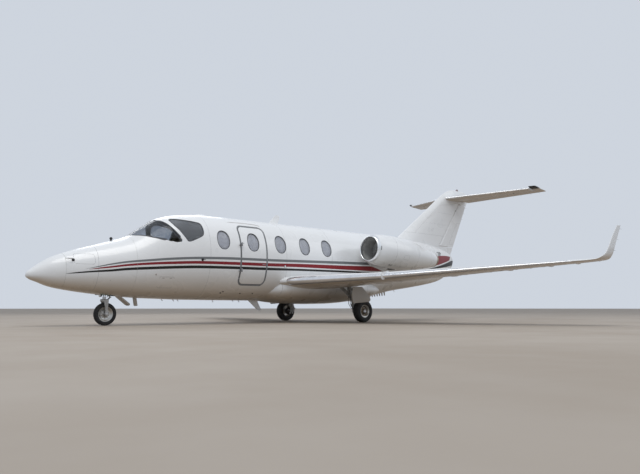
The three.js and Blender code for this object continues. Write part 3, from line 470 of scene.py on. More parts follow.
def loft(kit, rings, mats=0, caps=True):
    """A surface through rings of the same count. mats is a number or f(ring, place) for each cell."""
    count = len(rings[0])
    points = np.concatenate([np.asarray(r, float) for r in rings])
    faces, chosen = [], []
    for r, i in product(range(len(rings) - 1), range(count)):
        a, b = r * count + i, r * count + (i + 1) % count
        face = []
        for k in (a, b, b + count, a + count):
            if not any(np.abs(points[k] - points[m]).max() < 1e-4 for m in face):
                face.append(k)
        if len(face) > 2:
            faces.append(face)
            chosen.append(mats if isinstance(mats, int) else mats(r, i))
    if caps:
        last = (len(rings) - 1) * count
        faces.append(list(range(count))[::-1])
        faces.append([last + i for i in range(count)])
        chosen += [chosen[0], chosen[-1]]
    volume = 0.0
    middle = points.mean(0)
    for f in faces:
        for j, k in zip(f[1:], f[2:]):
            volume += (points[f[0]] - middle) @ np.cross(points[j] - middle, points[k] - middle)
    if volume < 0:
        faces = [f[::-1] for f in faces]
    return kit.add(points, faces, chosen)


def basis(direction):
    """Two unit vectors square to a direction, and the direction's own."""
    d = unit(direction)
    a = unit(np.cross(UP if abs(d[2]) < 0.9 else FORWARD, d))
    return a, np.cross(d, a), d


def circle(count, a, b):
    """Places round a unit circle in the plane of two unit vectors."""
    angles = np.linspace(0, 2 * math.pi, count, endpoint=False)
    return np.cos(angles)[:, None] * np.asarray(a, float) + np.sin(angles)[:, None] * np.asarray(b, float)


def rings_about(start, direction, profile, facets):
    """A ring for each (distance along, radius) of a profile about a line."""
    a, b, d = basis(direction)
    start, around = np.asarray(start, float), circle(facets, a, b)
    return [start + d * along + around * max(radius, 0.01) for along, radius in profile]


def turned(kit, start, direction, profile, facets=48, mats=0):
    """A shape turned about a line. profile rows are (distance along, radius)."""
    rings = rings_about(start, direction, profile, facets)
    if isinstance(mats, int):
        return loft(kit, rings, mats)
    return loft(kit, rings, lambda r, i: mats[min(r, len(mats) - 1)])


def ringed(kit, start, direction, profile, facets=72, mats=0):
    """A closed loop of (distance along, radius) turned about a line."""
    rows = len(profile)
    points = np.concatenate(rings_about(start, direction, profile, facets))
    faces, chosen = [], []
    for r, i in product(range(rows), range(facets)):
        s, j = (r + 1) % rows, (i + 1) % facets
        faces.append([r * facets + i, s * facets + i, s * facets + j, r * facets + j])
        chosen.append(mats if isinstance(mats, int) else mats[min(r, len(mats) - 1)])
    area = sum(a0 * r1 - a1 * r0 for (a0, r0), (a1, r1) in zip(profile, [*profile[1:], profile[0]]))
    if area < 0:
        faces = [f[::-1] for f in faces]
    return kit.add(points, faces, chosen)


def rod(length, radius, end_radius, cut):
    """The profile of a round bar with both ends bevelled."""
    return [(0, end_radius), (cut, radius), (length - cut, radius), (length, end_radius)]


def tube(kit, points, radius, facets=12, mats=0, smooth=0):
    """A round tube along points, with a bent path made smooth first if asked."""
    p = smooth_curve(points, smooth) if smooth else np.asarray(points, float)
    radii = np.atleast_1d(np.asarray(radius, float))
    radii = np.interp(np.linspace(0, 1, len(p)), np.linspace(0, 1, len(radii)), radii)
    tangent = np.gradient(p, axis=0)
    tangent /= np.linalg.norm(tangent, axis=1, keepdims=True)
    a = basis(tangent[0])[0]
    rings = []
    for place, t, size in zip(p, tangent, radii):
        a = unit(a - t * (a @ t))
        rings.append(place + size * circle(facets, a, np.cross(t, a)))
    return loft(kit, rings, mats)


def block(kit, low, high, bevel=4.0, mats=0):
    """A box with bevelled edges, between two corners."""
    low, high = np.asarray(low, float), np.asarray(high, float)
    middle, half = (low + high) / 2, np.abs(high - low) / 2
    inner = half - min(bevel, *(0.45 * half))
    points, index, faces = [], {}, []
    for corner in product(SIGNS, repeat=3):
        for axis in range(3):
            p = inner.copy()
            p[axis] = half[axis]
            index[(*corner, axis)] = len(points)
            points.append(middle + p * corner)

    def place(axis, s, a, b, on):
        key = [a, b]
        key.insert(axis, s)
        return index[(*key, on)]

    for axis, s in product(range(3), SIGNS):
        faces.append([place(axis, s, a, b, axis) for a, b in ((-1, -1), (1, -1), (1, 1), (-1, 1))])
    for axis, a, b in product(range(3), SIGNS, SIGNS):
        one, other = (k for k in range(3) if k != axis)
        edge = ((-1, one), (1, one), (1, other), (-1, other))
        faces.append([place(axis, s, a, b, on) for s, on in edge])
    for corner in product(SIGNS, repeat=3):
        faces.append([index[(*corner, axis)] for axis in range(3)])
    points = np.array(points)
    for k, f in enumerate(faces):
        n = np.cross(points[f[1]] - points[f[0]], points[f[2]] - points[f[0]])
        if n @ (points[f].mean(0) - middle) <= 0:
            faces[k] = f[::-1]
    return kit.add(points, faces, mats)


def plate(kit, outline, origin, u_axis, v_axis, thickness, mats=0, bevel=0.0):
    """A flat plate of an outline in two axes from an origin, with thickness to both sides."""
    o, u, v = (np.asarray(k, float) for k in (origin, u_axis, v_axis))
    n = unit(np.cross(u, v))
    outline = np.asarray(outline, float)
    half = thickness / 2

    def flat(points, lift):
        return o + points[:, :1] * u + points[:, 1:] * v + n * lift

    if not bevel:
        return loft(kit, [flat(outline, -half), flat(outline, half)], mats)
    middle = outline.mean(0)
    length = np.linalg.norm(outline - middle, axis=1, keepdims=True)
    small = middle + (outline - middle) * (length - bevel) / length
    layers = ((small, -half), (outline, -half + bevel), (outline, half - bevel), (small, half))
    return loft(kit, [flat(points, lift) for points, lift in layers], mats)


def ribbon(kit, path, ups, width=5.0, mat=1, lift=0.4, depth=1.5):
    """A thin strip lying on a surface along a path, with the way out at each place."""
    path, ups = np.asarray(path, float), np.asarray(ups, float)
    if ups.ndim == 1:
        ups = np.repeat(ups[None], len(path), 0)
    across = np.cross(ups, np.gradient(path, axis=0))
    across /= np.linalg.norm(across, axis=1, keepdims=True)
    rings = []
    for p, a, n in zip(path, across, ups):
        low, high = p - a * width / 2, p + a * width / 2
        rings.append([low - n * depth, high - n * depth, high + n * lift, low + n * lift])
    return loft(kit, rings, mat)


# Looks. Each is procedural; colours are linear.


def linear(r, g, b):
    """A colour given as it looks on screen, 0 to 255, as linear light."""
    shares = (c / 255 for c in (r, g, b))
    return (*(c / 12.92 if c <= 0.04045 else ((c + 0.055) / 1.055) ** 2.4 for c in shares), 1.0)


def darker(colour, share):
    return (*(c * share for c in colour[:3]), 1.0)


class Look:
    """A material on the Principled shader, with helpers for patterns in object coordinates."""

    def __init__(self, name, **sockets):
        self.mat = bpy.data.materials.new(name)
        self.mat.use_nodes = True
        self.tree = self.mat.node_tree
        self.shader = self.tree.nodes["Principled BSDF"]
        for socket, value in sockets.items():
            self.shader.inputs[socket.replace("_", " ")].default_value = value
        self.where = self.tree.nodes.new("ShaderNodeTexCoord").outputs["Object"]

    def node(self, kind, **inputs):
        made = self.tree.nodes.new(kind)
        for key, value in inputs.items():
            self.feed(made.inputs[key.replace("_", " ")], value)
        return made

    def feed(self, socket, value):
        if isinstance(value, bpy.types.NodeSocket):
            self.tree.links.new(value, socket)
        else:
            socket.default_value = value

    def scaled(self, value, factor):
        made = self.tree.nodes.new("ShaderNodeMath")
        made.operation = "MULTIPLY"
        self.feed(made.inputs[0], value)
        self.feed(made.inputs[1], factor)
        return made.outputs[0]

    def stretched(self, scale):
        return self.node("ShaderNodeMapping", Vector=self.where, Scale=scale).outputs[0]

    def noise(self, scale, detail=3.0, rough=0.5, vector=None, low=0.35, high=0.65):
        made = self.node("ShaderNodeTexNoise", Scale=scale, Detail=detail, Roughness=rough)
        self.feed(made.inputs["Vector"], vector or self.where)
        return self.spread(made.outputs["Fac"], low, high)

    def spread(self, value, low, high, to_low=0.0, to_high=1.0):
        limits = {"From_Min": low, "From_Max": high, "To_Min": to_low, "To_Max": to_high}
        return self.node("ShaderNodeMapRange", Value=value, **limits).outputs[0]

    def mix(self, factor, a, b):
        made = self.tree.nodes.new("ShaderNodeMix")
        made.data_type = "RGBA"
        self.feed(made.inputs["Factor"], factor)
        self.feed(made.inputs[6], a)
        self.feed(made.inputs[7], b)
        return made.outputs[2]

    def facing_down(self):
        """From 0 on sides to 1 on faces that look down, in the piece's own frame."""
        parts = self.tree.nodes.new("ShaderNodeSeparateXYZ")
        self.feed(parts.inputs[0], self.where.node.outputs["Normal"])
        return self.spread(parts.outputs["Z"], -0.22, -0.9)

    def colour(self, factor, a, b):
        """The base colour, mixed of two by a factor."""
        self.feed(self.shader.inputs["Base Color"], self.mix(factor, a, b))

    def rough(self, pattern, low, high):
        """The roughness, between two values by a pattern."""
        self.feed(self.shader.inputs["Roughness"], self.spread(pattern, 0, 1, low, high))

    def bump(self, height, strength=0.3, distance=0.001):
        made = self.node("ShaderNodeBump", Strength=strength, Distance=distance, Height=height)
        before = self.shader.inputs["Normal"]
        if before.is_linked:
            self.tree.links.new(before.links[0].from_socket, made.inputs["Normal"])
        self.tree.links.new(made.outputs[0], before)


class Palette:
    """Looks in a fixed order: palette.name is the number that faces carry, looks is the list."""

    def __init__(self, **looks):
        self.looks = list(looks.values())
        for number, name in enumerate(looks):
            setattr(self, name, number)


# How much of each paint colour stays on faces that look down: painted shade and painted reflection of the
# ground.
UNDERSIDE_SHADE_TINT = (0.63, 0.525, 0.41)


def paint_look(name, colour, dirt=0.9, gloss=0.26, coat=0.4, shade_tint=UNDERSIDE_SHADE_TINT):
    """Glossy aircraft paint: uneven in sheen, faintly wavy, and browner and darker on faces that look down,
    as painted shade and painted reflection of the ground.
    """
    look = Look(name, Coat_Weight=coat, Coat_Roughness=0.06, Specular_IOR_Level=0.5)
    streaks = look.noise(1.3, 2.5, 0.55, look.stretched((0.35, 1.0, 1.6)), 0.42, 0.72)
    clean = look.mix(look.scaled(streaks, 0.6), colour, darker(colour, dirt))
    # Faces that look down get the browner, darker colour: painted shade and painted reflection of the ground.
    painted_underside = (*(c * share for c, share in zip(colour, shade_tint)), 1.0)
    look.colour(look.facing_down(), clean, painted_underside)
    look.rough(look.noise(2.5, 1.0), gloss, gloss + 0.08)
    look.bump(look.noise(1.4, 0.0), 0.06, 0.003)
    return look.mat


def metal_look(name, colour, low=0.2, high=0.35, grain=(6, 60, 60), dirt=0.75):
    look = Look(name, Metallic=1.0)
    brushed = look.noise(8.0, 4, 0.6, look.stretched(grain), 0.3, 0.7)
    look.colour(look.noise(5.0, 5), colour, darker(colour, dirt))
    look.rough(brushed, low, high)
    look.bump(brushed, 0.08, 0.0006)
    return look.mat


def satin_look(name, colour, low=0.4, high=0.6, dirt=0.75, scale=14.0, metallic=0.0):
    look = Look(name, Metallic=metallic)
    look.colour(look.noise(scale, 5), colour, darker(colour, dirt))
    look.rough(look.noise(scale * 3, 3), low, high)
    look.bump(look.noise(260.0, 2), 0.12, 0.0006)
    return look.mat


def glass_look(name, tint, clear=0.55, slant=0.21, body=0.12):
    """Tinted acrylic: part see-through, with a clear shine that is stronger at a slant."""
    look = Look(name, Roughness=0.02, Specular_IOR_Level=0.8)
    see = look.node("ShaderNodeBsdfTransparent", Color=tint)
    look.colour(look.noise(3.0, 2), darker(tint, body * 0.85), darker(tint, body * 1.15))
    slanted = look.node("ShaderNodeLayerWeight", Blend=slant)
    share = look.spread(slanted.outputs["Facing"], 0.0, 1.0, 1 - clear, 1.0)
    blend = look.tree.nodes.new("ShaderNodeMixShader")
    look.feed(blend.inputs[0], share)
    look.feed(blend.inputs[1], see.outputs[0])
    look.feed(blend.inputs[2], look.shader.outputs[0])
    look.feed(look.tree.nodes["Material Output"].inputs["Surface"], blend.outputs[0])
    return look.mat


def leather_look(name, colour):
    """Upholstery leather: pebbled grain, soft creases, and a worn sheen in patches."""
    look = Look(name, Specular_IOR_Level=0.4, Sheen_Weight=0.08)
    grain = look.node("ShaderNodeTexVoronoi", Scale=420.0, Vector=look.where)
    look.colour(look.noise(5.0, 5), colour, darker(colour, 0.8))
    look.rough(look.noise(9.0, 4), 0.38, 0.58)
    look.bump(grain.outputs["Distance"], 0.25, 0.0008)
    look.bump(look.noise(26.0, 4, 0.6, look.stretched((1.0, 0.5, 0.7))), 0.3, 0.003)
    return look.mat


WHITE_COLOUR = (0.775, 0.782, 0.787, 1)
WHITE = paint_look("white_paint_look", WHITE_COLOUR, 0.92)
RED = paint_look("red_stripe_look", linear(130, 0, 20), 0.85, 0.35, 0.08)
BLACK = paint_look("black_stripe_look", linear(10, 7, 6), 0.85, 0.35, 0.08)
GREY = paint_look("grey_stripe_look", linear(110, 113, 115), 0.9, 0.3, 0.3)
# The nacelle's faces that look down get a lighter painted shade.
NACELLE_PAINT = paint_look("nacelle_paint_look", WHITE_COLOUR, 0.92, shade_tint=(0.88, 0.86, 0.82))
# A darker brown-grey than the white paint, for the gear doors and the teeth under the tail: painted shade and
# painted reflection of the ground.
SHADED_GEAR_DOOR_PAINT = paint_look("gear_door_painted_shade_look", (0.44, 0.395, 0.335, 1), 0.85)

SEAM = satin_look("panel_seam_look", (0.30, 0.30, 0.31, 1), 0.5, 0.7)
SEAL = satin_look("seal_rubber_look", linear(70, 72, 76), 0.55, 0.75)
DOOR_SEAL = satin_look("door_seal_look", linear(128, 130, 133), 0.55, 0.75)
INNER_SKIN = satin_look("primed_skin_look", (0.30, 0.33, 0.26, 1), 0.5, 0.7)
LINING = satin_look("cabin_lining_look", linear(196, 188, 172), 0.55, 0.7, 0.9, 6.0)
COCKPIT_TRIM = satin_look("cockpit_trim_look", linear(150, 152, 156), 0.55, 0.7)
HINGE = satin_look("door_hinge_look", linear(150, 152, 155), 0.4, 0.6)
BLACK_PLASTIC = satin_look("black_plastic_look", (0.018, 0.018, 0.02, 1), 0.45, 0.65)
DUCT = satin_look("duct_look", linear(168, 168, 166), 0.35, 0.5)
FAN_METAL = satin_look("fan_blade_look", (0.62, 0.62, 0.62, 1), 0.3, 0.45, 0.8, 14.0, 0.35)
SPINNER = satin_look("spinner_look", linear(128, 128, 126), 0.28, 0.4)
RUBBER = satin_look("tyre_look", (0.022, 0.021, 0.021, 1), 0.62, 0.85, 0.8, 9.0)
GEAR_PAINT = satin_look("gear_paint_look", linear(178, 178, 176), 0.3, 0.45, 0.75)
HOSE = satin_look("hose_look", (0.03, 0.03, 0.032, 1), 0.45, 0.6)
THREAD = satin_look("thread_look", linear(222, 216, 202), 0.6, 0.8)
SHELL = satin_look("seat_shell_look", linear(150, 142, 128), 0.4, 0.55)
PANEL_GREY = satin_look("panel_grey_look", linear(104, 106, 108), 0.5, 0.65)

STEEL = metal_look("fitting_steel_look", (0.62, 0.62, 0.63, 1), 0.22, 0.4)
CHROME = metal_look("chrome_look", (0.80, 0.80, 0.82, 1), 0.06, 0.14, (3, 3, 3), 0.9)
POLISH = metal_look("polished_edge_look", (0.86, 0.86, 0.87, 1), 0.08, 0.2, (4, 4, 4), 0.88)
LIP_METAL = metal_look("intake_lip_look", (0.86, 0.87, 0.88, 1), 0.3, 0.42, (3, 3, 3), 0.94)
NOZZLE = metal_look("nozzle_look", (0.40, 0.31, 0.24, 1), 0.22, 0.42, (5, 40, 40), 0.6)
HOT = metal_look("core_look", (0.16, 0.14, 0.13, 1), 0.35, 0.55)
RIM = metal_look("rim_look", (0.62, 0.61, 0.58, 1), 0.26, 0.42, (20, 20, 20), 0.75)
HUB_DARK = metal_look("hub_look", (0.20, 0.16, 0.12, 1), 0.35, 0.55, (20, 20, 20), 0.7)
BRAKE = metal_look("brake_look", (0.13, 0.12, 0.115, 1), 0.4, 0.6, (8, 8, 30), 0.6)

GLASS = glass_look("tinted_glass_look", (0.88, 0.90, 0.93, 1), 0.92, 0.1)
SIDE_GLASS = glass_look("side_glass_look", (0.84, 0.87, 0.91, 1), 0.8, body=0.34)
CABIN_GLASS = glass_look("cabin_glass_look", (0.98, 0.985, 1.0, 1), 0.97, 0.24)
BEACON = glass_look("beacon_look", (0.75, 0.02, 0.015, 1), 0.35)

LEATHER = leather_look("cream_leather_look", linear(198, 188, 168))
PIPING = leather_look("piping_leather_look", linear(150, 138, 118))
SHIELD = leather_look("glare_shield_look", linear(44, 44, 46))

shade = Look("pleated_shade_look", Specular_IOR_Level=0.2)
shade.colour(shade.noise(9.0, 4), linear(246, 247, 250), linear(232, 234, 240))
shade.rough(shade.noise(40.0, 2), 0.75, 0.9)
pleats = shade.node("ShaderNodeTexWave", Scale=40.0, Distortion=0.15, Vector=shade.where)
pleats.bands_direction = "Z"
shade.bump(pleats.outputs["Fac"], 0.7, 0.004)

carpet = Look("carpet_look", Specular_IOR_Level=0.1)
carpet.colour(carpet.noise(260.0, 3), linear(122, 112, 98), linear(92, 84, 73))
carpet.rough(carpet.noise(30.0, 3), 0.85, 0.98)
carpet.bump(carpet.noise(650.0, 2), 0.7, 0.003)
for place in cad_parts["cabin_floor"].material_slots:
    place.material = carpet.mat

screen = Look("display_glass_look", Coat_Weight=0.6, Coat_Roughness=0.04)
screen.colour(screen.noise(12.0, 3), (0.008, 0.011, 0.016, 1), (0.014, 0.018, 0.024, 1))
screen.rough(screen.noise(60.0, 3), 0.1, 0.2)

# The numbers that a palette gives its looks are the same for paints in all three of these
PAINTS = {"white": WHITE, "seam": SEAM, "red": RED, "black": BLACK, "grey": GREY}
SKIN = Palette(**PAINTS)
HULL_SKIN = Palette(**PAINTS, bare=INNER_SKIN)
DOOR = Palette(**PAINTS, lining=LINING, seal=SEAL, steel=STEEL, plastic=BLACK_PLASTIC, hinge=HINGE)
FOIL = Palette(white=WHITE, seam=SEAM, polish=POLISH, black=BLACK, seal=SEAL)


# Stage: camera, floor and soft light


def link_object(name, data):
    made = bpy.data.objects.new(name, data)
    bpy.context.scene.collection.objects.link(made)
    return made


def look_along(made, direction):
    """Turns a camera or a light so that it looks along a direction."""
    made.rotation_euler = Vector(direction).to_track_quat("-Z", "Y").to_euler()


CAMERA_YAW, CAMERA_PITCH = math.radians(228.104), math.radians(6.478)
camera_data = bpy.data.cameras.new("photo_camera")
camera_data.sensor_fit = "HORIZONTAL"
camera_data.sensor_width = 36.0
camera_data.lens = 35.13
camera_data.clip_end = 1000.0
camera = link_object("photo_camera", camera_data)
camera.location = (11.047, 12.294, 0.351)
level = math.cos(CAMERA_PITCH)
aim = (math.cos(CAMERA_YAW) * level, math.sin(CAMERA_YAW) * level, math.sin(CAMERA_PITCH))
look_along(camera, aim)
bpy.context.scene.camera = camera

FLOOR_REACH, FLOOR_SINK = 300.0, 0.0005
floor_look = Look("pale_floor_look", Specular_IOR_Level=0.25)
floor_look.colour(floor_look.noise(0.35, 6), linear(160, 149, 137), linear(168, 158, 147))
floor_look.rough(floor_look.noise(1.5, 4), 0.7, 0.85)
floor_mesh = bpy.data.meshes.new("floor")
floor_signs = ((-1, -1), (1, -1), (1, 1), (-1, 1))
floor_corners = [(x * FLOOR_REACH, y * FLOOR_REACH, -FLOOR_SINK) for x, y in floor_signs]
floor_mesh.from_pydata(floor_corners, [], [(0, 1, 2, 3)])
floor_mesh.materials.append(floor_look.mat)
link_object("floor", floor_mesh)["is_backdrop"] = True

world = bpy.data.worlds.new("soft_studio")
world.use_nodes = True
background = world.node_tree.nodes["Background"]
background.inputs["Color"].default_value = (0.80, 0.86, 0.95, 1)
background.inputs["Strength"].default_value = 0.77
bpy.context.scene.world = world
bpy.context.scene.view_settings.view_transform = "Standard"


def soft_light(name, place, target, size, power, colour):
    data = bpy.data.lights.new(name, "AREA")
    data.shape = "DISK"
    data.size, data.energy, data.color = size, power, colour
    lamp = link_object(name, data)
    lamp.location = place
    look_along(lamp, Vector(target) - Vector(place))


soft_light("key", (8, 6, 22), (0, 0, 1), 16, 2250, (1.0, 0.98, 0.94))
soft_light("fill", (-16, 14, 12), (-2, 0, 1), 14, 500, (0.94, 0.97, 1.0))
soft_light("back", (-4, -18, 14), (0, 0, 1), 12, 700, (0.95, 0.97, 1.0))


# Paint scheme

# Rows of station, height of the middle, half width
GREY_STRIPE = [
    [940, 1088, 0.5],
    [1209, 1152, 10],
    [1389, 1194, 14],
    [1714, 1253, 19],
    [2151, 1304, 23],
    [2660, 1358, 25],
    [3232, 1399, 26],
    [4091, 1430, 28],
    [5057, 1443, 29],
    [5975, 1463, 31],
    [7482, 1497, 34],
    [8237, 1512, 35],
    [8400, 1515, 35],
]
RED_STRIPE = [
    [1000, 1082, 0.5],
    [1200, 1114, 12],
    [1391, 1141, 17],
    [1716, 1190, 21],
    [2153, 1236, 25],
    [2665, 1274, 28],
    [3237, 1306, 30],
    [4097, 1324, 33],
    [5061, 1338, 36],
    [5978, 1360, 41],
    [7483, 1374, 52],
    [8011, 1381, 58],
    [8400, 1386, 64],
    [8545, 1378, 50],
    [8713, 1361, 29],
    [8900, 1350, 1],
]
BLACK_STRIPE = [
    [600, 990, 0.5],
    [730, 1006, 9],
    [864, 1022, 13],
    [1109, 1048, 17],
    [1394, 1073, 21],
    [1719, 1112, 25],
    [2159, 1146, 28],
    [2673, 1182, 29],
    [3247, 1211, 30],
    [4107, 1229, 30],
    [5071, 1242, 30],
    [5987, 1258, 25],
    [7491, 1273, 24],
    [8020, 1276, 20],
    [8640, 1293, 1],
]
GREY_END, GREY_SLANT = 8330, 1.6
# The sweep on the tail cone: station, lower edge, upper edge of the red
TAIL_RED = [
    [9700, 1488, 1490],
    [10500, 1505, 1600],
    [11200, 1550, 1790],
    [11800, 1645, 1925],
    [12400, 1775, 1985],
    [12700, 1850, 1992],
    [12900, 1905, 1990],
]
TAIL_RED_START = TAIL_RED[0][0]
TAIL_BLACK_START = 10900
TAIL_GAP = 42


def stripe(sheet, table, mat, end=None, slant=0.0):
    """Splits a sheet along a stripe's two edges and its slanted end, and paints it."""
    start = table[0][0]
    cut_off = end is not None
    end = end or table[-1][0]
    span = (start - 60, end + 60)

    def above(at):
        return at.z - pchip(table, 1, at.u)

    def half(at):
        return pchip(table, 2, at.u)

    def past(at):
        return at.u - end + slant * above(at)

    sheet.split(lambda at: above(at) - half(at), span)
    sheet.split(lambda at: above(at) + half(at), span)
    if cut_off:
        sheet.split(past, (end - 150, end + 150))
    sheet.paint(lambda at: (np.abs(above(at)) < half(at)) & (at.u > start) & (past(at) < 0), mat)


def paint_stripes(sheet):
    stripe(sheet, GREY_STRIPE, SKIN.grey, GREY_END, GREY_SLANT)
    stripe(sheet, RED_STRIPE, SKIN.red)
    stripe(sheet, BLACK_STRIPE, SKIN.black)


def paint_tail_sweep(sheet):
    """A red sweep with a black one below it, both cut off at a slant."""

    def over_red(at):
        return at.z - pchip(TAIL_RED, 2, at.u)

    def over_edge(at):
        return at.z - pchip(TAIL_RED, 1, at.u)

    def under_gap(at):
        return over_edge(at) + TAIL_GAP

    def over_black(at):
        return over_edge(at) + 0.1 * (at.u - TAIL_BLACK_START)

    def past(at):
        return at.u - 12820 - (at.z - 1950) * 0.9

    for field, start in (
        (over_red, TAIL_RED_START - 50),
        (over_edge, TAIL_RED_START - 50),
        (under_gap, TAIL_RED_START - 50),
        (over_black, TAIL_BLACK_START - 50),
        (past, 12300),
    ):
        sheet.split(field, (start, HULL_END))

    def is_red(at):
        return (over_red(at) < 0) & (over_edge(at) > 0) & (at.u > TAIL_RED_START) & (past(at) < 0)

    def is_black(at):
        return (under_gap(at) < 0) & (over_black(at) > 0) & (at.u > TAIL_BLACK_START)

    sheet.paint(is_red, SKIN.red)
    sheet.paint(is_black, SKIN.black)


# Panel joints: narrow cells of the grid, painted as seams

SEAM_HALF = 2.0
TURN_HALF = 0.00045


def with_pairs(values, lines, half=SEAM_HALF, clear=9):
    """Grid places with a narrow pair round each line; the even grid keeps clear of the pairs."""
    for line in lines:
        values = values[np.abs(values - line) > clear]
    return np.sort(np.concatenate([values, [line + d for line in lines for d in (-half, half)]]))


def jointed_sheet(body, stations, count, joints=(), lines=()):
    """A closed sheet with seams. lines rows are (turn, from station, to station)."""
    turns = with_pairs(np.linspace(0, 1, count + 1), [row[0] for row in lines], TURN_HALF, 0.0015)
    sheet = Sheet(body, with_pairs(stations, joints), turns, wrap=True)

    def on_seam(at):
        here = np.zeros(len(at.u), bool)
        for line in joints:
            here |= np.abs(at.u - line) < SEAM_HALF
        for turn, start, end in lines:
            here |= (np.abs(at.v - turn) < TURN_HALF) & (at.u > start) & (at.u < end)
        return here

    sheet.paint(on_seam, SKIN.seam)
    return sheet


SKIN_DEPTH = 22.0
CELLS_ROUND = 144
JOINT_GAP = 1.5


def hull_skin(start, end, step, joints=(), lines=()):
    count = int(round((end - start) / step)) + 1
    return jointed_sheet(hull, np.linspace(start, end, count), CELLS_ROUND, joints, lines)


def joint_band(kit, station, half=14.0):
    """A bare strip behind a joint, so that no gap shows through."""
    band = Sheet(hull, [station - half, station + half], np.linspace(0, 1, 97), wrap=True)
    band.paint_all(HULL_SKIN.bare)
    band.build(kit, 2.0, 8.0)


# Openings. A field is negative inside its opening.

FAR = 999.0
WINDOW_STATIONS = [3820, 4612, 5398, 6142, 6860]
DOOR_WINDOW = 1
WINDOW_HEIGHT = 1830
WINDOW_HALF_WIDTH, WINDOW_HALF_HEIGHT, WINDOW_POWER = 157, 205, 2.2
WINDOW_BAND = (1600, 2070)
# Station and distance from the middle plane, seen from above
WINDSHIELD = [
    [1956, 24],
    [1968, 121],
    [2010, 283],
    [2113, 441],
    [2236, 559],
    [2399, 650],
    [2567, 711],
    [2688, 738],
    [2798, 757],
    [2843, 753],
    [2813, 726],
    [2755, 679],
    [2685, 601],
    [2626, 505],
    [2575, 393],
    [2544, 297],
    [2510, 189],
    [2490, 24],
]
# Station and height, seen from the side
COCKPIT_WINDOW = [
    [2698, 2182],
    [2720, 2215],
    [2764, 2228],
    [2865, 2232],
    [3026, 2218],
    [3206, 2196],
    [3312, 2173],
    [3346, 2138],
    [3358, 2050],
    [3354, 1970],
    [3330, 1901],
    [3268, 1856],
    [3180, 1813],
    [3080, 1767],
    [2995, 1740],
    [2960, 1752],
    [2915, 1821],
    [2866, 1894],
    [2804, 1994],
    [2746, 2071],
]
WINDSHIELD_OUTLINE = smooth_curve(WINDSHIELD, 4, 0.4, closed=True)
COCKPIT_OUTLINE = smooth_curve(COCKPIT_WINDOW, 4, 0.4, closed=True)
DOOR_FRONT, DOOR_REAR, DOOR_BOTTOM, DOOR_TOP, DOOR_CORNER = 4250, 4985, 858, 2205, 130
DOOR_GAP, DOOR_FRAME = 20, 11


def oval_field(station):
    """The field of the cabin window at a station."""

    def field(at):
        u, v = np.abs(at.u - station) / WINDOW_HALF_WIDTH, np.abs(at.z - WINDOW_HEIGHT) / WINDOW_HALF_HEIGHT
        size = (u**WINDOW_POWER + v**WINDOW_POWER) ** (1 / WINDOW_POWER)
        return (size - 1) * WINDOW_HALF_WIDTH

    return field


def cabin_windows_field(at):
    best = np.full(len(at.u), FAR)
    for i, station in enumerate(WINDOW_STATIONS):
        d = oval_field(station)(at)
        best = np.minimum(best, np.where(at.y > 0, FAR, d) if i == DOOR_WINDOW else d)
    return best


def door_box(front_in, rear_in, in_low, in_high, corner):
    """The field of the door's outline, moved in by a distance on each side."""

    def field(at):
        front, rear = DOOR_FRONT + front_in, DOOR_REAR - rear_in
        return box_distance(front, rear, DOOR_BOTTOM + in_low, DOOR_TOP - in_high, corner, at.u, at.z)

    return field


doorway = door_box(0, 0, 0, 0, DOOR_CORNER)


def door_field(at):
    return np.where(at.y > 0, doorway(at), FAR)


def windshield_field(at):
    return np.where(at.z > 1690, outline_distance(WINDSHIELD_OUTLINE, at.u, np.abs(at.y)), FAR)


def cockpit_field(at):
    return np.where(np.abs(at.y) > 200, outline_distance(COCKPIT_OUTLINE, at.u, at.z), FAR)


def between(field, low, high):
    """A test for places where a field lies between two values."""

    def test(at):
        d = field(at)
        return (d > low) & (d < high)

    return test


def cut(sheet, field, *offsets, span=EVERYWHERE):
    """Splits a sheet where a field is 0, or at each offset if some are given."""
    for offset in offsets or (0.0,):
        sheet.split(lambda at: field(at) - offset, span)


WINDOWS_SPAN = (WINDOW_STATIONS[0] - 200, WINDOW_STATIONS[-1] + 200)
DOOR_SPAN = (4180, 5060)
WINDSHIELD_SPAN = (1925, 2880)
COCKPIT_SPAN = (2650, 3400)
OPENINGS = (
    (cabin_windows_field, WINDOWS_SPAN),
    (door_field, DOOR_SPAN),
    (windshield_field, WINDSHIELD_SPAN),
    (cockpit_field, COCKPIT_SPAN),
)


def clear_of_openings(margins):
    """A test for places outside every opening, by a margin for each."""
    return lambda at: np.all([field(at) > m for (field, _), m in zip(OPENINGS, margins)], axis=0)


def local_sheet(span, side, heights, columns=24, rows=30):
    """A fine sheet over a small part of the hull, between two heights on one side."""
    low, high = (float(hull.side_turn(sum(span) / 2, height)) for height in heights)
    turns = np.linspace(low, high, rows + 1)
    return Sheet(hull, np.linspace(*span, columns + 1), turns if side == PORT else 1 - turns[::-1])


def glazing(kit, field, span, side, heights, columns, rows, seal=(-9, 7)):
    """A pane set into its hole, with a rubber seal standing a little proud round it."""
    pane, ring = (local_sheet(span, side, heights, columns, rows) for _ in range(2))
    cut(pane, field, -2.5)
    pane.keep(between(field, -FAR, -2.5))
    pane.build(kit, 5.0, 13.0)
    cut(ring, field, *seal)
    ring.keep(between(field, *seal))
    ring.paint_all(1)
    ring.build(kit, -1.6, 4.6)
    return kit


def cabin_pane(kit, station, side, reach=175):
    span = (station - reach, station + reach)
    return glazing(kit, oval_field(station), span, side, WINDOW_BAND, 22, 30, (-7, 5))


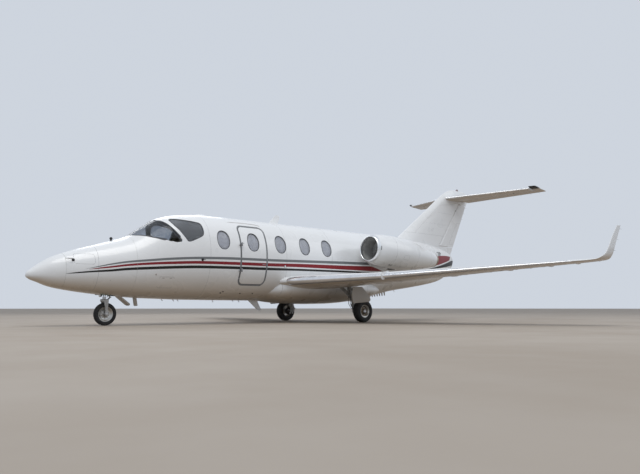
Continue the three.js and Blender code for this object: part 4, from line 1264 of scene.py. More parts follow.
# Nose cone
CONE_START = 3
cone_shares = np.linspace(0, 1, 40) ** 2
nose_cone = jointed_sheet(hull, CONE_START + (CONE_END - JOINT_GAP - CONE_START) * cone_shares, CELLS_ROUND)
paint_stripes(nose_cone)
kit = nose_cone.build(Kit(), 0, 12)
tip = hull.ring(CONE_START, 96)
loft(kit, [tip, tip * 0.3 + tip.mean(0) * 0.7 + np.array([2.4, 0, 0])], SKIN.white)
kit.piece("nose_cone_skin", "airframe", "radome_paint", SKIN.looks, ["nose_cone"])

# Nose section with the open bay of the nose wheel
BAY_FRONT, BAY_REAR, BAY_HALF, BAY_TOP, BAY_WALL = 1400, 1690, 150, 860, 8
HATCH_LINE = 4.0


def bay_field(at):
    return np.where(at.z < 900, box_distance(BAY_FRONT, BAY_REAR, -BAY_HALF, BAY_HALF, 12, at.u, at.y), FAR)


def nose_hatch(at):
    return box_distance(760, 1120, 1185, 1385, 45, at.u, at.z)


def bay_wall(kit, low, high):
    block(kit, (x_at(high[0]), low[1], low[2]), (x_at(low[0]), high[1], high[2]), 1.0, HULL_SKIN.bare)


nose = hull_skin(CONE_END + JOINT_GAP, CABIN_START - JOINT_GAP, 24, joints=[1180])
paint_stripes(nose)
cut(nose, nose_hatch, HATCH_LINE / 2, -HATCH_LINE / 2, span=(700, 1180))
on_line = between(nose_hatch, -HATCH_LINE / 2, HATCH_LINE / 2)
nose.paint(lambda at: on_line(at) & (at.u > 700) & (at.u < 1180), SKIN.seam)
cut(nose, bay_field, span=(1360, 1730))
nose.keep(between(bay_field, 0, 2 * FAR))
kit = nose.build(Kit(), 0, SKIN_DEPTH, HULL_SKIN.bare, HULL_SKIN.bare)
joint_band(kit, CONE_END)
joint_band(kit, CABIN_START)
BAY_OUT, BAY_ROOF = BAY_HALF + BAY_WALL, BAY_TOP + BAY_WALL
bay_wall(kit, (BAY_FRONT - BAY_WALL, -BAY_OUT, 618), (BAY_FRONT, BAY_OUT, BAY_ROOF))
bay_wall(kit, (BAY_REAR, -BAY_OUT, 600), (BAY_REAR + BAY_WALL, BAY_OUT, BAY_ROOF))
for y in (-BAY_OUT, BAY_HALF):
    bay_wall(kit, (BAY_FRONT, y, 610), (BAY_REAR, y + BAY_WALL, BAY_ROOF))
bay_wall(kit, (BAY_FRONT, -BAY_HALF, BAY_TOP), (BAY_REAR, BAY_HALF, BAY_ROOF))
for y in (-120, -60, 60, 120):
    bay_wall(kit, (BAY_FRONT + 2, y - 5, BAY_TOP - 26), (BAY_REAR - 2, y + 5, BAY_TOP + 1))
kit.piece("nose_section_skin", "airframe", "white_paint", HULL_SKIN.looks, ["nose_section"])

# Cabin: the outer skin with its openings
cabin_lines = [(turn, 3480, CABIN_END) for turn in (0.435, 0.565)]
cabin = hull_skin(CABIN_START + JOINT_GAP, CABIN_END - JOINT_GAP, 32, [3480, 5560, 7020], cabin_lines)
paint_stripes(cabin)
cut(cabin, cabin_windows_field, span=WINDOWS_SPAN)
cut(cabin, door_field, 0, DOOR_FRAME, span=DOOR_SPAN)
cabin.paint(between(door_field, 0, DOOR_FRAME), SKIN.grey)
cut(cabin, windshield_field, span=WINDSHIELD_SPAN)
cut(cabin, cockpit_field, span=COCKPIT_SPAN)
cabin.keep(clear_of_openings((0, 0, 0, 0)))
kit = cabin.build(Kit(), 0, SKIN_DEPTH, HULL_SKIN.bare, HULL_SKIN.white)
joint_band(kit, CABIN_END)
kit.piece("cabin_skin", "airframe", "white_paint", HULL_SKIN.looks, ["cabin_shell"])

# Aft fuselage and its closed tail end
aft_lines = [(turn, CABIN_END, 11900) for turn in (0.30, 0.70)]
aft = hull_skin(CABIN_END + JOINT_GAP, HULL_END, 32, [9620, 10980, 12120], aft_lines)
paint_stripes(aft)
paint_tail_sweep(aft)
kit = aft.build(Kit(), 0, SKIN_DEPTH, HULL_SKIN.bare, HULL_SKIN.bare)
end_ring = hull.ring(HULL_END, 64)
end_middle = end_ring.mean(0)
dome = [
    end_middle + (end_ring - end_middle) * share - np.array([reach, 0, 0])
    for share, reach in ((1.0, -1), (0.95, 4), (0.8, 9), (0.5, 13), (0.1, 15))
]
loft(kit, dome, HULL_SKIN.white)
kit.piece("aft_fuselage_skin", "airframe", "white_paint", HULL_SKIN.looks, ["aft_fuselage"])

# Panes with their seals
CABIN_PANE = [CABIN_GLASS, SEAL]
for name, side in SIDES:
    for pane, field, span, top, columns, rows, glass in (
        ("windshield", windshield_field, WINDSHIELD_SPAN, 2424, 60, 60, GLASS),
        ("cockpit_window", cockpit_field, COCKPIT_SPAN, 2300, 40, 44, SIDE_GLASS),
    ):
        kit = glazing(Kit(), field, span, side, (1700, top), columns, rows)
        kit.piece(f"{pane}_{name}_pane", "airframe", "window_glass", [glass, SEAL], [f"{pane}_{name}"])
for piece, node, stations, side in (
    ("cabin_window_front_pane", "cabin_window_front", WINDOW_STATIONS[:1], PORT),
    ("cabin_windows_left_panes", "cabin_windows_left", WINDOW_STATIONS[2:], PORT),
    ("cabin_windows_right_panes", "cabin_windows_right", WINDOW_STATIONS, STARBOARD),
):
    kit = Kit()
    for station in stations:
        cabin_pane(kit, station, side)
    kit.piece(piece, "airframe", "window_glass", CABIN_PANE, [node])

# Passenger door: outer skin, inner frame and hinges, with its own window
DOOR_EDGE = DOOR_CORNER - DOOR_GAP
DOOR_PART_SPAN = (DOOR_FRONT + DOOR_GAP - 6, DOOR_REAR - DOOR_GAP + 6)
DOOR_PART_HEIGHTS = (DOOR_BOTTOM + DOOR_GAP - 8, DOOR_TOP - DOOR_GAP + 8)
HINGE_STATION, HINGE_Y, HINGE_RADIUS, HINGE_ARM = 4260, 872, 14, 40
HINGE_HEIGHTS = (1180, 1760)
LEDGE = (-34, -28)
door_skin_field = door_box(DOOR_GAP, DOOR_GAP, DOOR_GAP, DOOR_GAP, DOOR_EDGE)
door_inner_field = door_box(DOOR_GAP + 2, DOOR_GAP + 62, DOOR_GAP + 2, DOOR_GAP + 2, DOOR_EDGE)
door_window_field = oval_field(WINDOW_STATIONS[DOOR_WINDOW])


def door_sheet(field, *offsets):
    """A sheet of the door's size, split along a field and along its window."""
    sheet = local_sheet(DOOR_PART_SPAN, PORT, DOOR_PART_HEIGHTS, 30, 66)
    if field is door_skin_field:
        paint_stripes(sheet)
    cut(sheet, field, 0, *offsets)
    cut(sheet, door_window_field)
    return sheet


def door_hinge(kit, height, on_door, mat):
    low = height + 0.35 if on_door else height - HINGE_ARM
    high = height + HINGE_ARM if on_door else height
    length = high - low
    knuckle = rod(length, HINGE_RADIUS, HINGE_RADIUS - 2, 2)
    turned(kit, (x_at(HINGE_STATION), HINGE_Y, low), UP, knuckle, 24, mat)
    start = HINGE_STATION if on_door else HINGE_STATION - 44
    block(kit, (x_at(start + 44), HINGE_Y - 125, low + 15), (x_at(start), HINGE_Y + 4, high - 15), 3, mat)


door = door_sheet(door_skin_field, -DOOR_FRAME)
door.paint(between(door_skin_field, -DOOR_FRAME, 0), DOOR.grey)
door.keep(lambda at: (door_skin_field(at) < 0) & (door_window_field(at) > 0))
kit = door.build(Kit(), 0, 14.5, DOOR.lining, DOOR.grey)
frame_sheet = door_sheet(door_inner_field, LEDGE[1], LEDGE[0])
frame_sheet.paint_all(DOOR.lining)
frame_sheet.paint(between(door_inner_field, *LEDGE), DOOR.seal)
frame_sheet.keep(lambda at: (door_inner_field(at) < 0) & (door_window_field(at) > 0))
frame_sheet.build(kit, 15.5, 77, DOOR.lining, DOOR.lining)
for height in HINGE_HEIGHTS:
    door_hinge(kit, height, True, DOOR.hinge)
# Inner handle with its plate
inner_y = hull.half_at(4700, 1560) - 77
block(kit, (x_at(4760), inner_y - 12, 1480), (x_at(4640), inner_y + 4, 1640), 5, DOOR.lining)
turned(kit, (x_at(4700), inner_y - 6, 1560), (0, -1, 0), [(0, 26), (14, 24), (18, 14)], 24, DOOR.steel)
lever = [(4700, -22, 1560), (4660, -26, 1566), (4560, -26, 1575)]
tube(kit, [(x_at(s), inner_y + y, z) for s, y, z in lever], [9, 8, 7], 12, DOOR.steel)
# Outer pull handle
handle_y = hull.half_at(4890, 1330)
grip = [(4850, -3), (4856, 9), (4890, 11), (4924, 9), (4930, -3)]
tube(kit, [(x_at(s), handle_y + y, 1330) for s, y in grip], 5, 10, DOOR.steel, 4)
kit.piece("passenger_door_panel", "door", "white_paint", DOOR.looks, ["passenger_door"])
kit = cabin_pane(Kit(), WINDOW_STATIONS[DOOR_WINDOW], PORT, 185)
kit.piece("door_window_pane", "door", "window_glass", CABIN_PANE, ["door_window"])

# The door's seal in its gap, the fuselage's half of the hinges, and the drip rail above
SEAL_BAND = (3 - DOOR_GAP, 1.0)
RAIL = [(4085, 2272), (4180, 2280), (4400, 2284), (4700, 2284), (4880, 2272), (4960, 2250)]
seal_heights = (DOOR_BOTTOM - 10, DOOR_TOP + 10)
seal_sheet = local_sheet((DOOR_FRONT - 8, DOOR_REAR + 8), PORT, seal_heights, 34, 70)
cut(seal_sheet, door_field, *SEAL_BAND[::-1])
seal_sheet.keep(between(door_field, *SEAL_BAND))
kit = seal_sheet.build(Kit(), 2.0, 14)
for height in HINGE_HEIGHTS:
    door_hinge(kit, height, False, 0)
rail = [(x_at(s), hull.half_at(s, z) + 5, z) for s, z in RAIL]
tube(kit, rail, [3, 8, 9, 9, 8, 3], 10, 1, 6)
kit.piece("door_surround", "airframe", "white_paint", [DOOR_SEAL, WHITE])

# Behind the panes: shades and reveals
HALF_DRAWN, HALF_DRAWN_SHARE = (1, 3), 0.62


def window_dressing(kit, station, side, drawn=1.0):
    """A window's reveal, and its shade drawn down by a share."""
    field = oval_field(station)
    bottom = WINDOW_HEIGHT + WINDOW_HALF_HEIGHT * (1 - 2 * drawn)

    def edge(at):
        return np.maximum(field(at) - 2.0, bottom - at.z)

    reveal, blind = (local_sheet((station - 180, station + 180), side, WINDOW_BAND, 22, 30) for _ in range(2))
    cut(reveal, field, 1.0, 12.0)
    reveal.keep(between(field, 1.0, 12.0))
    reveal.build(kit, SKIN_DEPTH - 4, 79)
    cut(blind, edge)
    blind.keep(between(edge, -FAR, 0))
    blind.paint_all(1)
    return blind.build(kit, 19, 22)


DRESSING = [LINING, shade.mat]
kit = Kit()
for i, station in enumerate(WINDOW_STATIONS):
    if i != DOOR_WINDOW:
        window_dressing(kit, station, PORT)
    window_dressing(kit, station, STARBOARD, HALF_DRAWN_SHARE if i in HALF_DRAWN else 1.0)
kit.piece("window_shades", "airframe", "panel_plastic", DRESSING)
kit = window_dressing(Kit(), WINDOW_STATIONS[DOOR_WINDOW], PORT)
kit.piece("door_window_shade", "door", "panel_plastic", DRESSING)

# Cabin lining and the bulkheads at both ends
FLOOR_TOP, COCKPIT_END = 870, 3150
LINING_INSET = 79.0
LINING_MARGINS = (8.0, 4.0, 6.0, 6.0)
lining = Sheet(hull, np.linspace(1992, 8358, 150), np.linspace(0, 1, 97))
for (field, span), margin in zip(OPENINGS, LINING_MARGINS):
    cut(lining, field, margin, span=span)
lining.split(lambda at: at.z - FLOOR_TOP + 30)
open_enough = clear_of_openings(LINING_MARGINS)
lining.keep(lambda at: open_enough(at) & (at.z > FLOOR_TOP - 30))
lining.paint(lambda at: at.u < COCKPIT_END, 1)
kit = lining.build(Kit(), LINING_INSET, LINING_INSET + 4)
for start, end, mat in ((1978, 1990, 1), (8360, 8372, 0)):
    loft(kit, [hull.ring(s, 96, LINING_INSET - 3) for s in (start, end)], mat)
kit.piece("cabin_lining", "airframe", "panel_plastic", [LINING, COCKPIT_TRIM])

# Foils: wing, fin and tailplane

SLOT = 10
END_SLOT = 20
NOSE_SHARES = [0, 0.0012, 0.0045, 0.010, 0.018, 0.029, 0.043, 0.045]
MID_SHARES = [0.06, 0.085, 0.115, 0.15, 0.19, 0.24, 0.30, 0.36, 0.43, 0.50, 0.57, 0.64]
TAIL_SHARES = [0.70, 0.7015, 0.75, 0.80, 0.85, 0.90, 0.95, 1.0]
POLISHED_CELLS = 7
NOSE_ANGLES = np.radians(np.arange(75, -76, -15))
SEAM_CELL = 1.0


def foil_half(thick, share):
    """Half thickness of the foil, as a share of its chord."""
    t = np.asarray(share, float)
    front = 0.2969 * np.sqrt(t) - 0.126 * t - 0.3516 * t**2
    rear = 0.2843 * t**3 - 0.1015 * t**4
    return 5 * thick * (front + rear) + 0.0015


def wall_share(chord, thick, nose):
    """Where the fixed part ends, a slot ahead of the moving part's round nose."""
    return nose - float(foil_half(thick, nose)) - SLOT / chord


def foil_outline(thick, start=0.0, end=1.0):
    """Shares and lifts round a foil, over the top from the rear and back along the bottom."""
    if start > 0:
        shares = np.linspace(start, end, 9)
        half = foil_half(thick, shares)
        nose = zip(start - half[0] * np.cos(NOSE_ANGLES), half[0] * np.sin(NOSE_ANGLES))
        return np.array([*zip(shares[::-1], half[::-1]), *nose, *zip(shares, -half)])
    middle = MID_SHARES if end >= 1 else [s for s in MID_SHARES if s < end - 0.03]
    shares = np.array(NOSE_SHARES + middle + (TAIL_SHARES if end >= 1 else [end]))
    half = foil_half(thick, shares)
    half[0] = 0
    return np.array([*zip(shares[::-1], half[::-1]), *zip(shares[1:], -half[1:])])


def foil_ring(place, chord, thick, along, up, start=0.0, end=1.0):
    outline = foil_outline(thick, start, end)
    along, up = np.asarray(along, float), np.asarray(up, float)
    return np.asarray(place, float) + (outline[:, :1] * along + outline[:, 1:] * up) * chord


def with_seams(places, seams, half=SEAM_HALF):
    """Places with a narrow pair round each seam."""
    return sorted({*places, *(s + d for s in seams for d in (-half, half))})


def foil_loft(kit, places, ring, seams=(), polished=(0, 0)):
    """A foil through rings at places, with seams and a polished nose between two places."""
    rings = [ring(p) for p in places]
    nose = (len(rings[0]) + 1) // 2 - 1

    def mat(r, i):
        middle = (places[r] + places[r + 1]) / 2
        steps = nose - i if i < nose else i - nose + 1
        if polished[0] < middle < polished[1] and steps <= POLISHED_CELLS:
            return FOIL.polish if steps < POLISHED_CELLS else FOIL.seam
        return FOIL.seam if any(abs(middle - line) < SEAM_CELL for line in seams) else FOIL.white

    return loft(kit, rings, mat)


def on_skin(place, points, steps):
    """Paths of places on a skin, one for each leg between two (place, share) points."""
    for (p0, s0), (p1, s1) in zip(points, points[1:]):
        yield [place(p0 + (p1 - p0) * k, s0 + (s1 - s0) * k) for k in np.linspace(0, 1, steps)]


def cover(kit, place, radius, joint, top=1.3, middle=0.9, facets=24):
    """A round access cover below a foil: its edge, a dark joint and the plate inside it."""
    inner = radius - joint
    profile = [(0, radius), (1.2, radius - 1), (top, inner), (middle, inner - 1)]
    turned(kit, place, DOWN, profile, facets, [FOIL.white, FOIL.seam, FOIL.white])


def wick(kit, edge, ahead, behind):
    """A static wick from a little ahead of a trailing edge to behind it."""
    tube(kit, [edge + ahead, edge - behind], [2.4, 1.2], 6, FOIL.black)


def end_pins(kit, ends, radius=10, reach=40, inside=60):
    """A pin at each end of a hinge line, from inside the moving part into the fixed one."""
    a, b = ends
    way = unit(b - a)
    for end, out in ((a, -way), (b, way)):
        turned(kit, end - out * inside, out, [(0, radius), (inside + reach, radius)], 16, FOIL.polish)


# Wings
# y, leading edge, height, chord, thickness share, cant and twist in degrees
WING_ROWS = [
    [660, 5389, 965, 2400, 0.135, 0, 1.4],
    [860, 5475, 975, 2350, 0.135, 0, 1.3],
    [3000, 6392, 1040, 1818, 0.12, 0, -0.8],
    [6600, 7934, 1246, 930, 0.075, 0, -2],
]
# The same with the length along the tip's curve in front
TIP_ROWS = [
    [0, 6600, 7934, 1246, 930, 0.075, 0, -2],
    [250, 6850, 8041, 1260, 740, 0.075, 4, -2],
    [401, 7000, 8108, 1280, 540, 0.08, 16, -1.6],
    [493, 7080, 8165, 1325, 410, 0.085, 42, -0.8],
    [578, 7120, 8262, 1400, 318, 0.09, 64, 0],
    [700, 7140, 8352, 1520, 273, 0.09, 75, 0],
    [910, 7152, 8508, 1730, 235, 0.09, 80, 0],
    [1130, 7163, 8715, 1950, 165, 0.09, 80, 0],
]
WINGLET_END = 1130
WING_BREAK = 6600
FLAP_NOSE = 0.8
FLAP_START, FLAP_END = 960, 6150
WING_SEAMS = [1700, 2650, 3900, 5150, 6380]
POLISHED_SPAN = (905, 6590)
TIP_SEAM, TIP_ROUND = 36, 15


def wing_row(y):
    return [y, *interpolated(WING_ROWS, y)]


def wing_ring(row, start=0.0, end=1.0):
    y, station, height, chord, thick, cant, twist = row
    twist, cant = math.radians(twist), math.radians(cant)
    along = (-math.cos(twist), 0, -math.sin(twist))
    up = (0, -math.sin(cant), math.cos(cant))
    return foil_ring((x_at(station), y, height), chord, thick, along, up, start, end)


def wing_full_ring(y):
    return wing_ring(wing_row(y))


def wing_main_ring(y):
    row = wing_row(y)
    return wing_ring(row, 0, wall_share(row[3], row[4], FLAP_NOSE))


def flap_ring(y):
    return wing_ring(wing_row(y), FLAP_NOSE, 1.0)


def tip_ring(t):
    """A ring of the winglet; past its end the rings flatten to round it off."""
    row = [float(pchip(TIP_ROWS, c, t)) for c in range(1, 8)]
    ring = wing_ring(row)
    extra = t - WINGLET_END
    if extra <= 0:
        return ring
    flat = math.sqrt(max(1 - (extra / TIP_ROUND) ** 2, 0.02))
    cant = math.radians(row[5])
    out = np.array([0, math.cos(cant), math.sin(cant)])
    side = np.array([0, -math.sin(cant), math.cos(cant)])
    offset = (ring - ring.mean(0)) @ side
    return ring - offset[:, None] * side * (1 - flat) + np.array([-extra * 0.9, 0, 0]) + out * extra


def wing_point(y, share, upper=True, lift=0.0):
    """A place on the wing's skin, raised off it by a lift."""
    _, station, height, chord, thick, _, twist = wing_row(y)
    half = float(foil_half(thick, share)) * chord + lift
    twist, reach = math.radians(twist), share * chord
    x = x_at(station) - math.cos(twist) * reach
    return np.array([x, y, height - math.sin(twist) * reach + (half if upper else -half)])


def flap_hinge(y):
    _, station, height, chord, _, _, twist = wing_row(float(y))
    twist, reach = math.radians(twist), FLAP_NOSE * chord
    return np.array([x_at(station) - reach * math.cos(twist), y, height - reach * math.sin(twist)])


def panel_edge(kit, points, width=5.0):
    """A thin strip on the top of the wing through (y, share) points."""
    for (y0, s0), (y1, s1) in zip(points, points[1:]):
        count = max(2, int(abs(y1 - y0) / 220) + 2)
        shares = np.linspace(0, 1, count)
        path = [wing_point(y0 + (y1 - y0) * t, s0 + (s1 - s0) * t, True, 0.3) for t in shares]
        across = unit(np.cross(UP, unit(path[-1] - path[0])))
        rings = []
        for p in path:
            a, b = p - across * width / 2, p + across * width / 2
            rings.append([a - (0, 0, 1.5), b - (0, 0, 1.5), b + (0, 0, 0.4), a + (0, 0, 0.4)])
        loft(kit, rings, FOIL.seam)


def bulge(kit, y, rows, sink, top, facets):
    """A fairing under the wing. rows are (share, half width, depth); sink is its middle's depth."""
    angles = np.linspace(0, 2 * math.pi, facets, endpoint=False)
    rings = []
    for share, width, depth in rows:
        rise = [(depth if math.sin(a) < 0 else top) * math.sin(a) for a in angles]
        ring = np.stack([np.zeros(facets), width * np.cos(angles), rise], 1)
        rings.append(wing_point(y, share, False, -sink) + ring)
    loft(kit, rings, FOIL.white)


TRACK_ROWS = ((0.58, 3, 2), (0.61, 12, 9), (0.66, 20, 16), (0.72, 23, 21), (0.765, 23, 22), (0.785, 22, 21))
AILERON_ROWS = ((0.72, 3, 2), (0.78, 11, 14), (0.86, 15, 24), (0.94, 13, 22), (0.985, 5, 8))
FLAP_ROWS = ((0.83, 22, 18), (0.88, 19, 15), (0.93, 13, 10), (0.965, 7, 5), (0.985, 2, 2))

kit = Kit()
foil_loft(kit, [660, 860, 905, FLAP_START - END_SLOT], wing_full_ring, (), POLISHED_SPAN)
places = with_seams(np.linspace(FLAP_START - END_SLOT, FLAP_END + END_SLOT, 24), WING_SEAMS[:-1])
foil_loft(kit, places, wing_main_ring, WING_SEAMS, POLISHED_SPAN)
places = with_seams([FLAP_END + END_SLOT, 6250, 6480, 6590, WING_BREAK], WING_SEAMS[-1:])
foil_loft(kit, places, wing_full_ring, WING_SEAMS, POLISHED_SPAN)
places = [*np.linspace(0, WINGLET_END, 40), *(WINGLET_END + d for d in (6, 11, 14))]
foil_loft(kit, places, tip_ring, (TIP_SEAM,))

# Spoilers on top, access panels below, the fuel cap
for y0, y1 in ((2150, 3350), (3370, 4500), (4520, 5600)):
    panel_edge(kit, [(y0, 0.64), (y1, 0.64), (y1, 0.735), (y0, 0.735), (y0, 0.64)])
for y in np.arange(1500.0, 6100.0, 520.0):
    cover(kit, wing_point(y, 0.33, False, -0.6), 62, 6, facets=28)
    cover(kit, wing_point(y + 200, 0.52, False, -0.6), 44, 4)
cap_rows = [(0, 58), (2.0, 57), (2.6, 50), (2.2, 48), (2.2, 8)]
fuel_cap = wing_point(5600.0, 0.36, True, -0.8)
turned(kit, fuel_cap, UP, cap_rows, 32, [FOIL.white, FOIL.seam, FOIL.white])

# Fairings over the flap tracks and the aileron's hinges
for y in (2250.0, 3900.0, 5110.0):
    bulge(kit, y, TRACK_ROWS, 8, 6, 20)
for y in (5850.0, 6375.0):
    bulge(kit, y, AILERON_ROWS, 5, 5, 18)

# Stall strip, static wicks and fence
strip = [wing_full_ring(y)[len(foil_outline(0.1)) // 2] for y in np.linspace(2380.0, 2760.0, 5)]
tube(kit, np.array(strip) + (3, 0, 0), [2, 6, 6, 6, 2], 6, FOIL.white)
for t in (120.0, 640.0, 860.0, 1080.0):
    wick(kit, tip_ring(t)[0], (20, 0, 0), (95, 0, 6))
FENCE_Y, FENCE_HALF = 3075, 3.0
FENCE_LOW, FENCE_HIGH, FENCE_TURN = 34, 58, 0.03
# Share of the chord, and 1 on top, 0 at the nose or -1 below
FENCE_PLACES = [(0.12, 1), (0.06, 1), (0.02, 1), (0.005, 1), (0, 0), (0.005, -1), (0.02, -1), (0.04, -1)]
rings = []
for dy in (-FENCE_HALF, FENCE_HALF):
    ring = []
    for share, side in FENCE_PLACES:
        height = FENCE_HIGH if share < FENCE_TURN else FENCE_LOW
        away = unit((1.0, 0, side * 0.9))
        ring.append(wing_point(FENCE_Y + dy, share, side >= 0) + away * height)
    for share, side in FENCE_PLACES[::-1]:
        ring.append(wing_point(FENCE_Y + dy, share, side >= 0) - np.array([6.0, 0, side * 2.0]))
    rings.append(ring)
loft(kit, rings, FOIL.white)
kit.pair("wing_{}_skin", "airframe", "white_paint", FOIL.looks, "wing_{}")

# Flaps
kit = Kit()
loft(kit, [flap_ring(y) for y in np.linspace(FLAP_START, FLAP_END, 20)], FOIL.white)
for y in (2000.0, 3300.0, 4600.0, 5900.0):
    wick(kit, flap_ring(y)[0], (15, 0, -2), (90, 0, 8))
for y in (2250.0, 3900.0, 5450.0):
    bulge(kit, y, FLAP_ROWS, 8, 4, 20)
end_pins(kit, [flap_hinge(y) for y in (FLAP_START, FLAP_END)])
kit.pair("flap_{}_skin", "flap_{}", "white_paint", FOIL.looks, "flap_{}")

# Belly fairing: only what stands outside the fuselage
HULL_OVERLAP = 25


def into_hull(at):
    return hull.outside(at.u, at.y, at.z) + HULL_OVERLAP


belly = jointed_sheet(fairing, np.linspace(5060, 9150, 86), 108, [5480, 7050, 8250])
cut(belly, into_hull)
belly.keep(between(into_hull, 0, np.inf))
kit = belly.build(Kit(), 0, 12, SKIN.white, SKIN.white)
kit.piece("belly_fairing_skin", "airframe", "fairing_paint", SKIN.looks, ["belly_fairing"])

# Fin and rudder
FIN_BREAK = 3842
# Height, leading-edge station, trailing-edge station, thickness
FIN_ROWS = [
    [2050, 9900, 13050, 230],
    [2400, 10400, 13240, 230],
    [2530, 10590, 13310, 225],
    [3500, 11960, 13835, 175],
    [FIN_BREAK, 12433, 14022, 152],
]
FIN_CAP_ROWS = [
    [FIN_BREAK, 12433, 14022, 152],
    [3960, 12600, 14120, 146],
    [4060, 12770, 14210, 132],
    [4150, 12930, 14160, 110],
    [4205, 13070, 14010, 80],
    [4238, 13260, 13850, 30],
    [4243, 13330, 13800, 8],
]
RUDDER_NOSE = 0.745
RUDDER_BOTTOM, RUDDER_TOP = 2330, 3770
CAP_START = 3790
FIN_SEAMS = [2640]


def fin_row(height):
    """Leading edge, chord and thickness share of the fin."""
    front, rear, thick = interpolated(FIN_ROWS if height <= FIN_BREAK else FIN_CAP_ROWS, height)
    return front, rear - front, thick / (rear - front)


def fin_ring(height, start=0.0, end=1.0):
    front, chord, thick = fin_row(height)
    return foil_ring((x_at(front), 0, height), chord, thick, AFTWARD, TO_PORT, start, end)


def fin_main_ring(height):
    return fin_ring(height, 0, wall_share(*fin_row(height)[1:], RUDDER_NOSE))


def fin_point(height, share, side=PORT, lift=0.0):
    front, chord, thick = fin_row(height)
    half = float(foil_half(thick, share)) * chord + lift
    return np.array([x_at(front) - share * chord, side * half, height])


def fin_hinge(height):
    front, chord, _ = fin_row(height)
    return np.array([x_at(front + chord * RUDDER_NOSE), 0, height])


kit = Kit()
foil_loft(kit, [2050, 2200, RUDDER_BOTTOM - END_SLOT], fin_ring)
places = with_seams([RUDDER_BOTTOM - END_SLOT, 2400, 2530, 2900, 3300, 3500, CAP_START], FIN_SEAMS)
foil_loft(kit, places, fin_main_ring, FIN_SEAMS)
places = [FIN_BREAK, 3880, 3920, 3960, 4010, 4060, 4105, 4150, 4178, 4205, 4222, 4238, 4243]
foil_loft(kit, [CAP_START, *places], fin_ring)
cover_angles = np.linspace(0, 2 * math.pi, 25)
for side in (PORT, STARBOARD):
    out = (0, side, 0)
    joint = [fin_point(3630 + 117 * t, 0.13 + 0.47 * t, side) for t in np.linspace(0, 1, 8)]
    ribbon(kit, joint, out, 4.5)
    for z in (3010, 3390):
        ribbon(kit, [fin_point(z, t, side) for t in np.linspace(0.02, 0.66, 8)], out, 3.0)
    ribbon(kit, [fin_point(z, 0.16, side) for z in np.linspace(2640, 3600, 8)], out, 3.0)
    # An inspection cover and the rudder's hinge bolt
    edge = [fin_point(2800 + 46 * math.sin(a), 0.42 + 0.018 * math.cos(a), side) for a in cover_angles]
    ribbon(kit, edge, out, 4.0)
    turned(kit, fin_point(3545, 0.735, side, -3), out, [(0, 17), (4, 16), (7, 8)], 20, FOIL.black)
kit.piece("fin_skin", "airframe", "fairing_paint", FOIL.looks, ["fin"])

kit = Kit()
places = [RUDDER_BOTTOM, 2700, 3100, 3500, RUDDER_TOP]
loft(kit, [fin_ring(z, RUDDER_NOSE, 1.0) for z in places], FOIL.white)
TRIM_TAB = [(2420, 0.985), (2420, 0.90), (3150, 0.90), (3150, 0.985)]
for side in (PORT, STARBOARD):
    for path in on_skin(lambda z, share: fin_point(z, share, side), TRIM_TAB, 5):
        ribbon(kit, path, (0, side, 0), 4.0)
for z in (3300.0, 3500.0, 3700.0):
    wick(kit, fin_ring(z, RUDDER_NOSE, 1.0)[0] * (1, 0, 1), (15, 0, 0), (100, 0, -10))
end_pins(kit, [fin_hinge(RUDDER_BOTTOM), fin_hinge(RUDDER_TOP)])
kit.piece("rudder_skin", "rudder", "fairing_paint", FOIL.looks, ["rudder"])

# Tailplane and elevators
# y, leading edge, height, chord, thickness share
TAIL_ROWS = [[0, 12740, 3900, 1160, 0.1], [2500, 14050, 4062, 700, 0.09]]
ELEVATOR_NOSE = 0.7
ELEVATOR_START, ELEVATOR_END = 150, 2330
TAIL_TIP = 2500
TAIL_SEAMS = [700, 1500, 2340]
TAIL_POLISH = (70, 2500)
DROOP = 8
TIP_LENGTH = 34.0


def tail_ring(y, start=0.0, end=1.0):
    station, height, chord, thick = interpolated(TAIL_ROWS, y)
    return foil_ring((x_at(station), y, height), chord, thick, AFTWARD, UP, start, end)


def tail_main_ring(y):
    return tail_ring(y, 0, wall_share(*interpolated(TAIL_ROWS, y)[2:], ELEVATOR_NOSE))


def tail_point(y, share, upper=True, lift=0.0):
    station, height, chord, thick = interpolated(TAIL_ROWS, y)
    half = float(foil_half(thick, share)) * chord + lift
    return np.array([x_at(station) - share * chord, y, height + (half if upper else -half)])


def tail_tip_ring(t):
    """Rings that round the tip off, t mm out from the last full one."""
    station, height, chord, thick = interpolated(TAIL_ROWS, TAIL_TIP)
    small = math.sqrt(max(1 - (t / TIP_LENGTH) ** 2, 0.01))
    front = station + chord * 0.26 * (1 - small)
    length = chord * (1 - 0.34 * (1 - small))
    return foil_ring((x_at(front), TAIL_TIP + t, height + 1), length, thick * small, AFTWARD, UP)


def tail_hinge(y):
    station, height, chord, _ = interpolated(TAIL_ROWS, y)
    return np.array([x_at(station + ELEVATOR_NOSE * chord), y, height])


hinge_a, hinge_b = tail_hinge(ELEVATOR_START), tail_hinge(ELEVATOR_END)


def drooped(points):
    """Points turned with the elevator about its hinge line to where it rests."""
    k, angle = unit(hinge_b - hinge_a), math.radians(-DROOP)
    v = np.asarray(points, float) - hinge_a
    along = k * (v @ k)[:, None] * (1 - math.cos(angle))
    return hinge_a + (v * math.cos(angle) + np.cross(k, v) * math.sin(angle) + along)


def elevator_ring(y):
    return drooped(tail_ring(y, ELEVATOR_NOSE, 1.0))


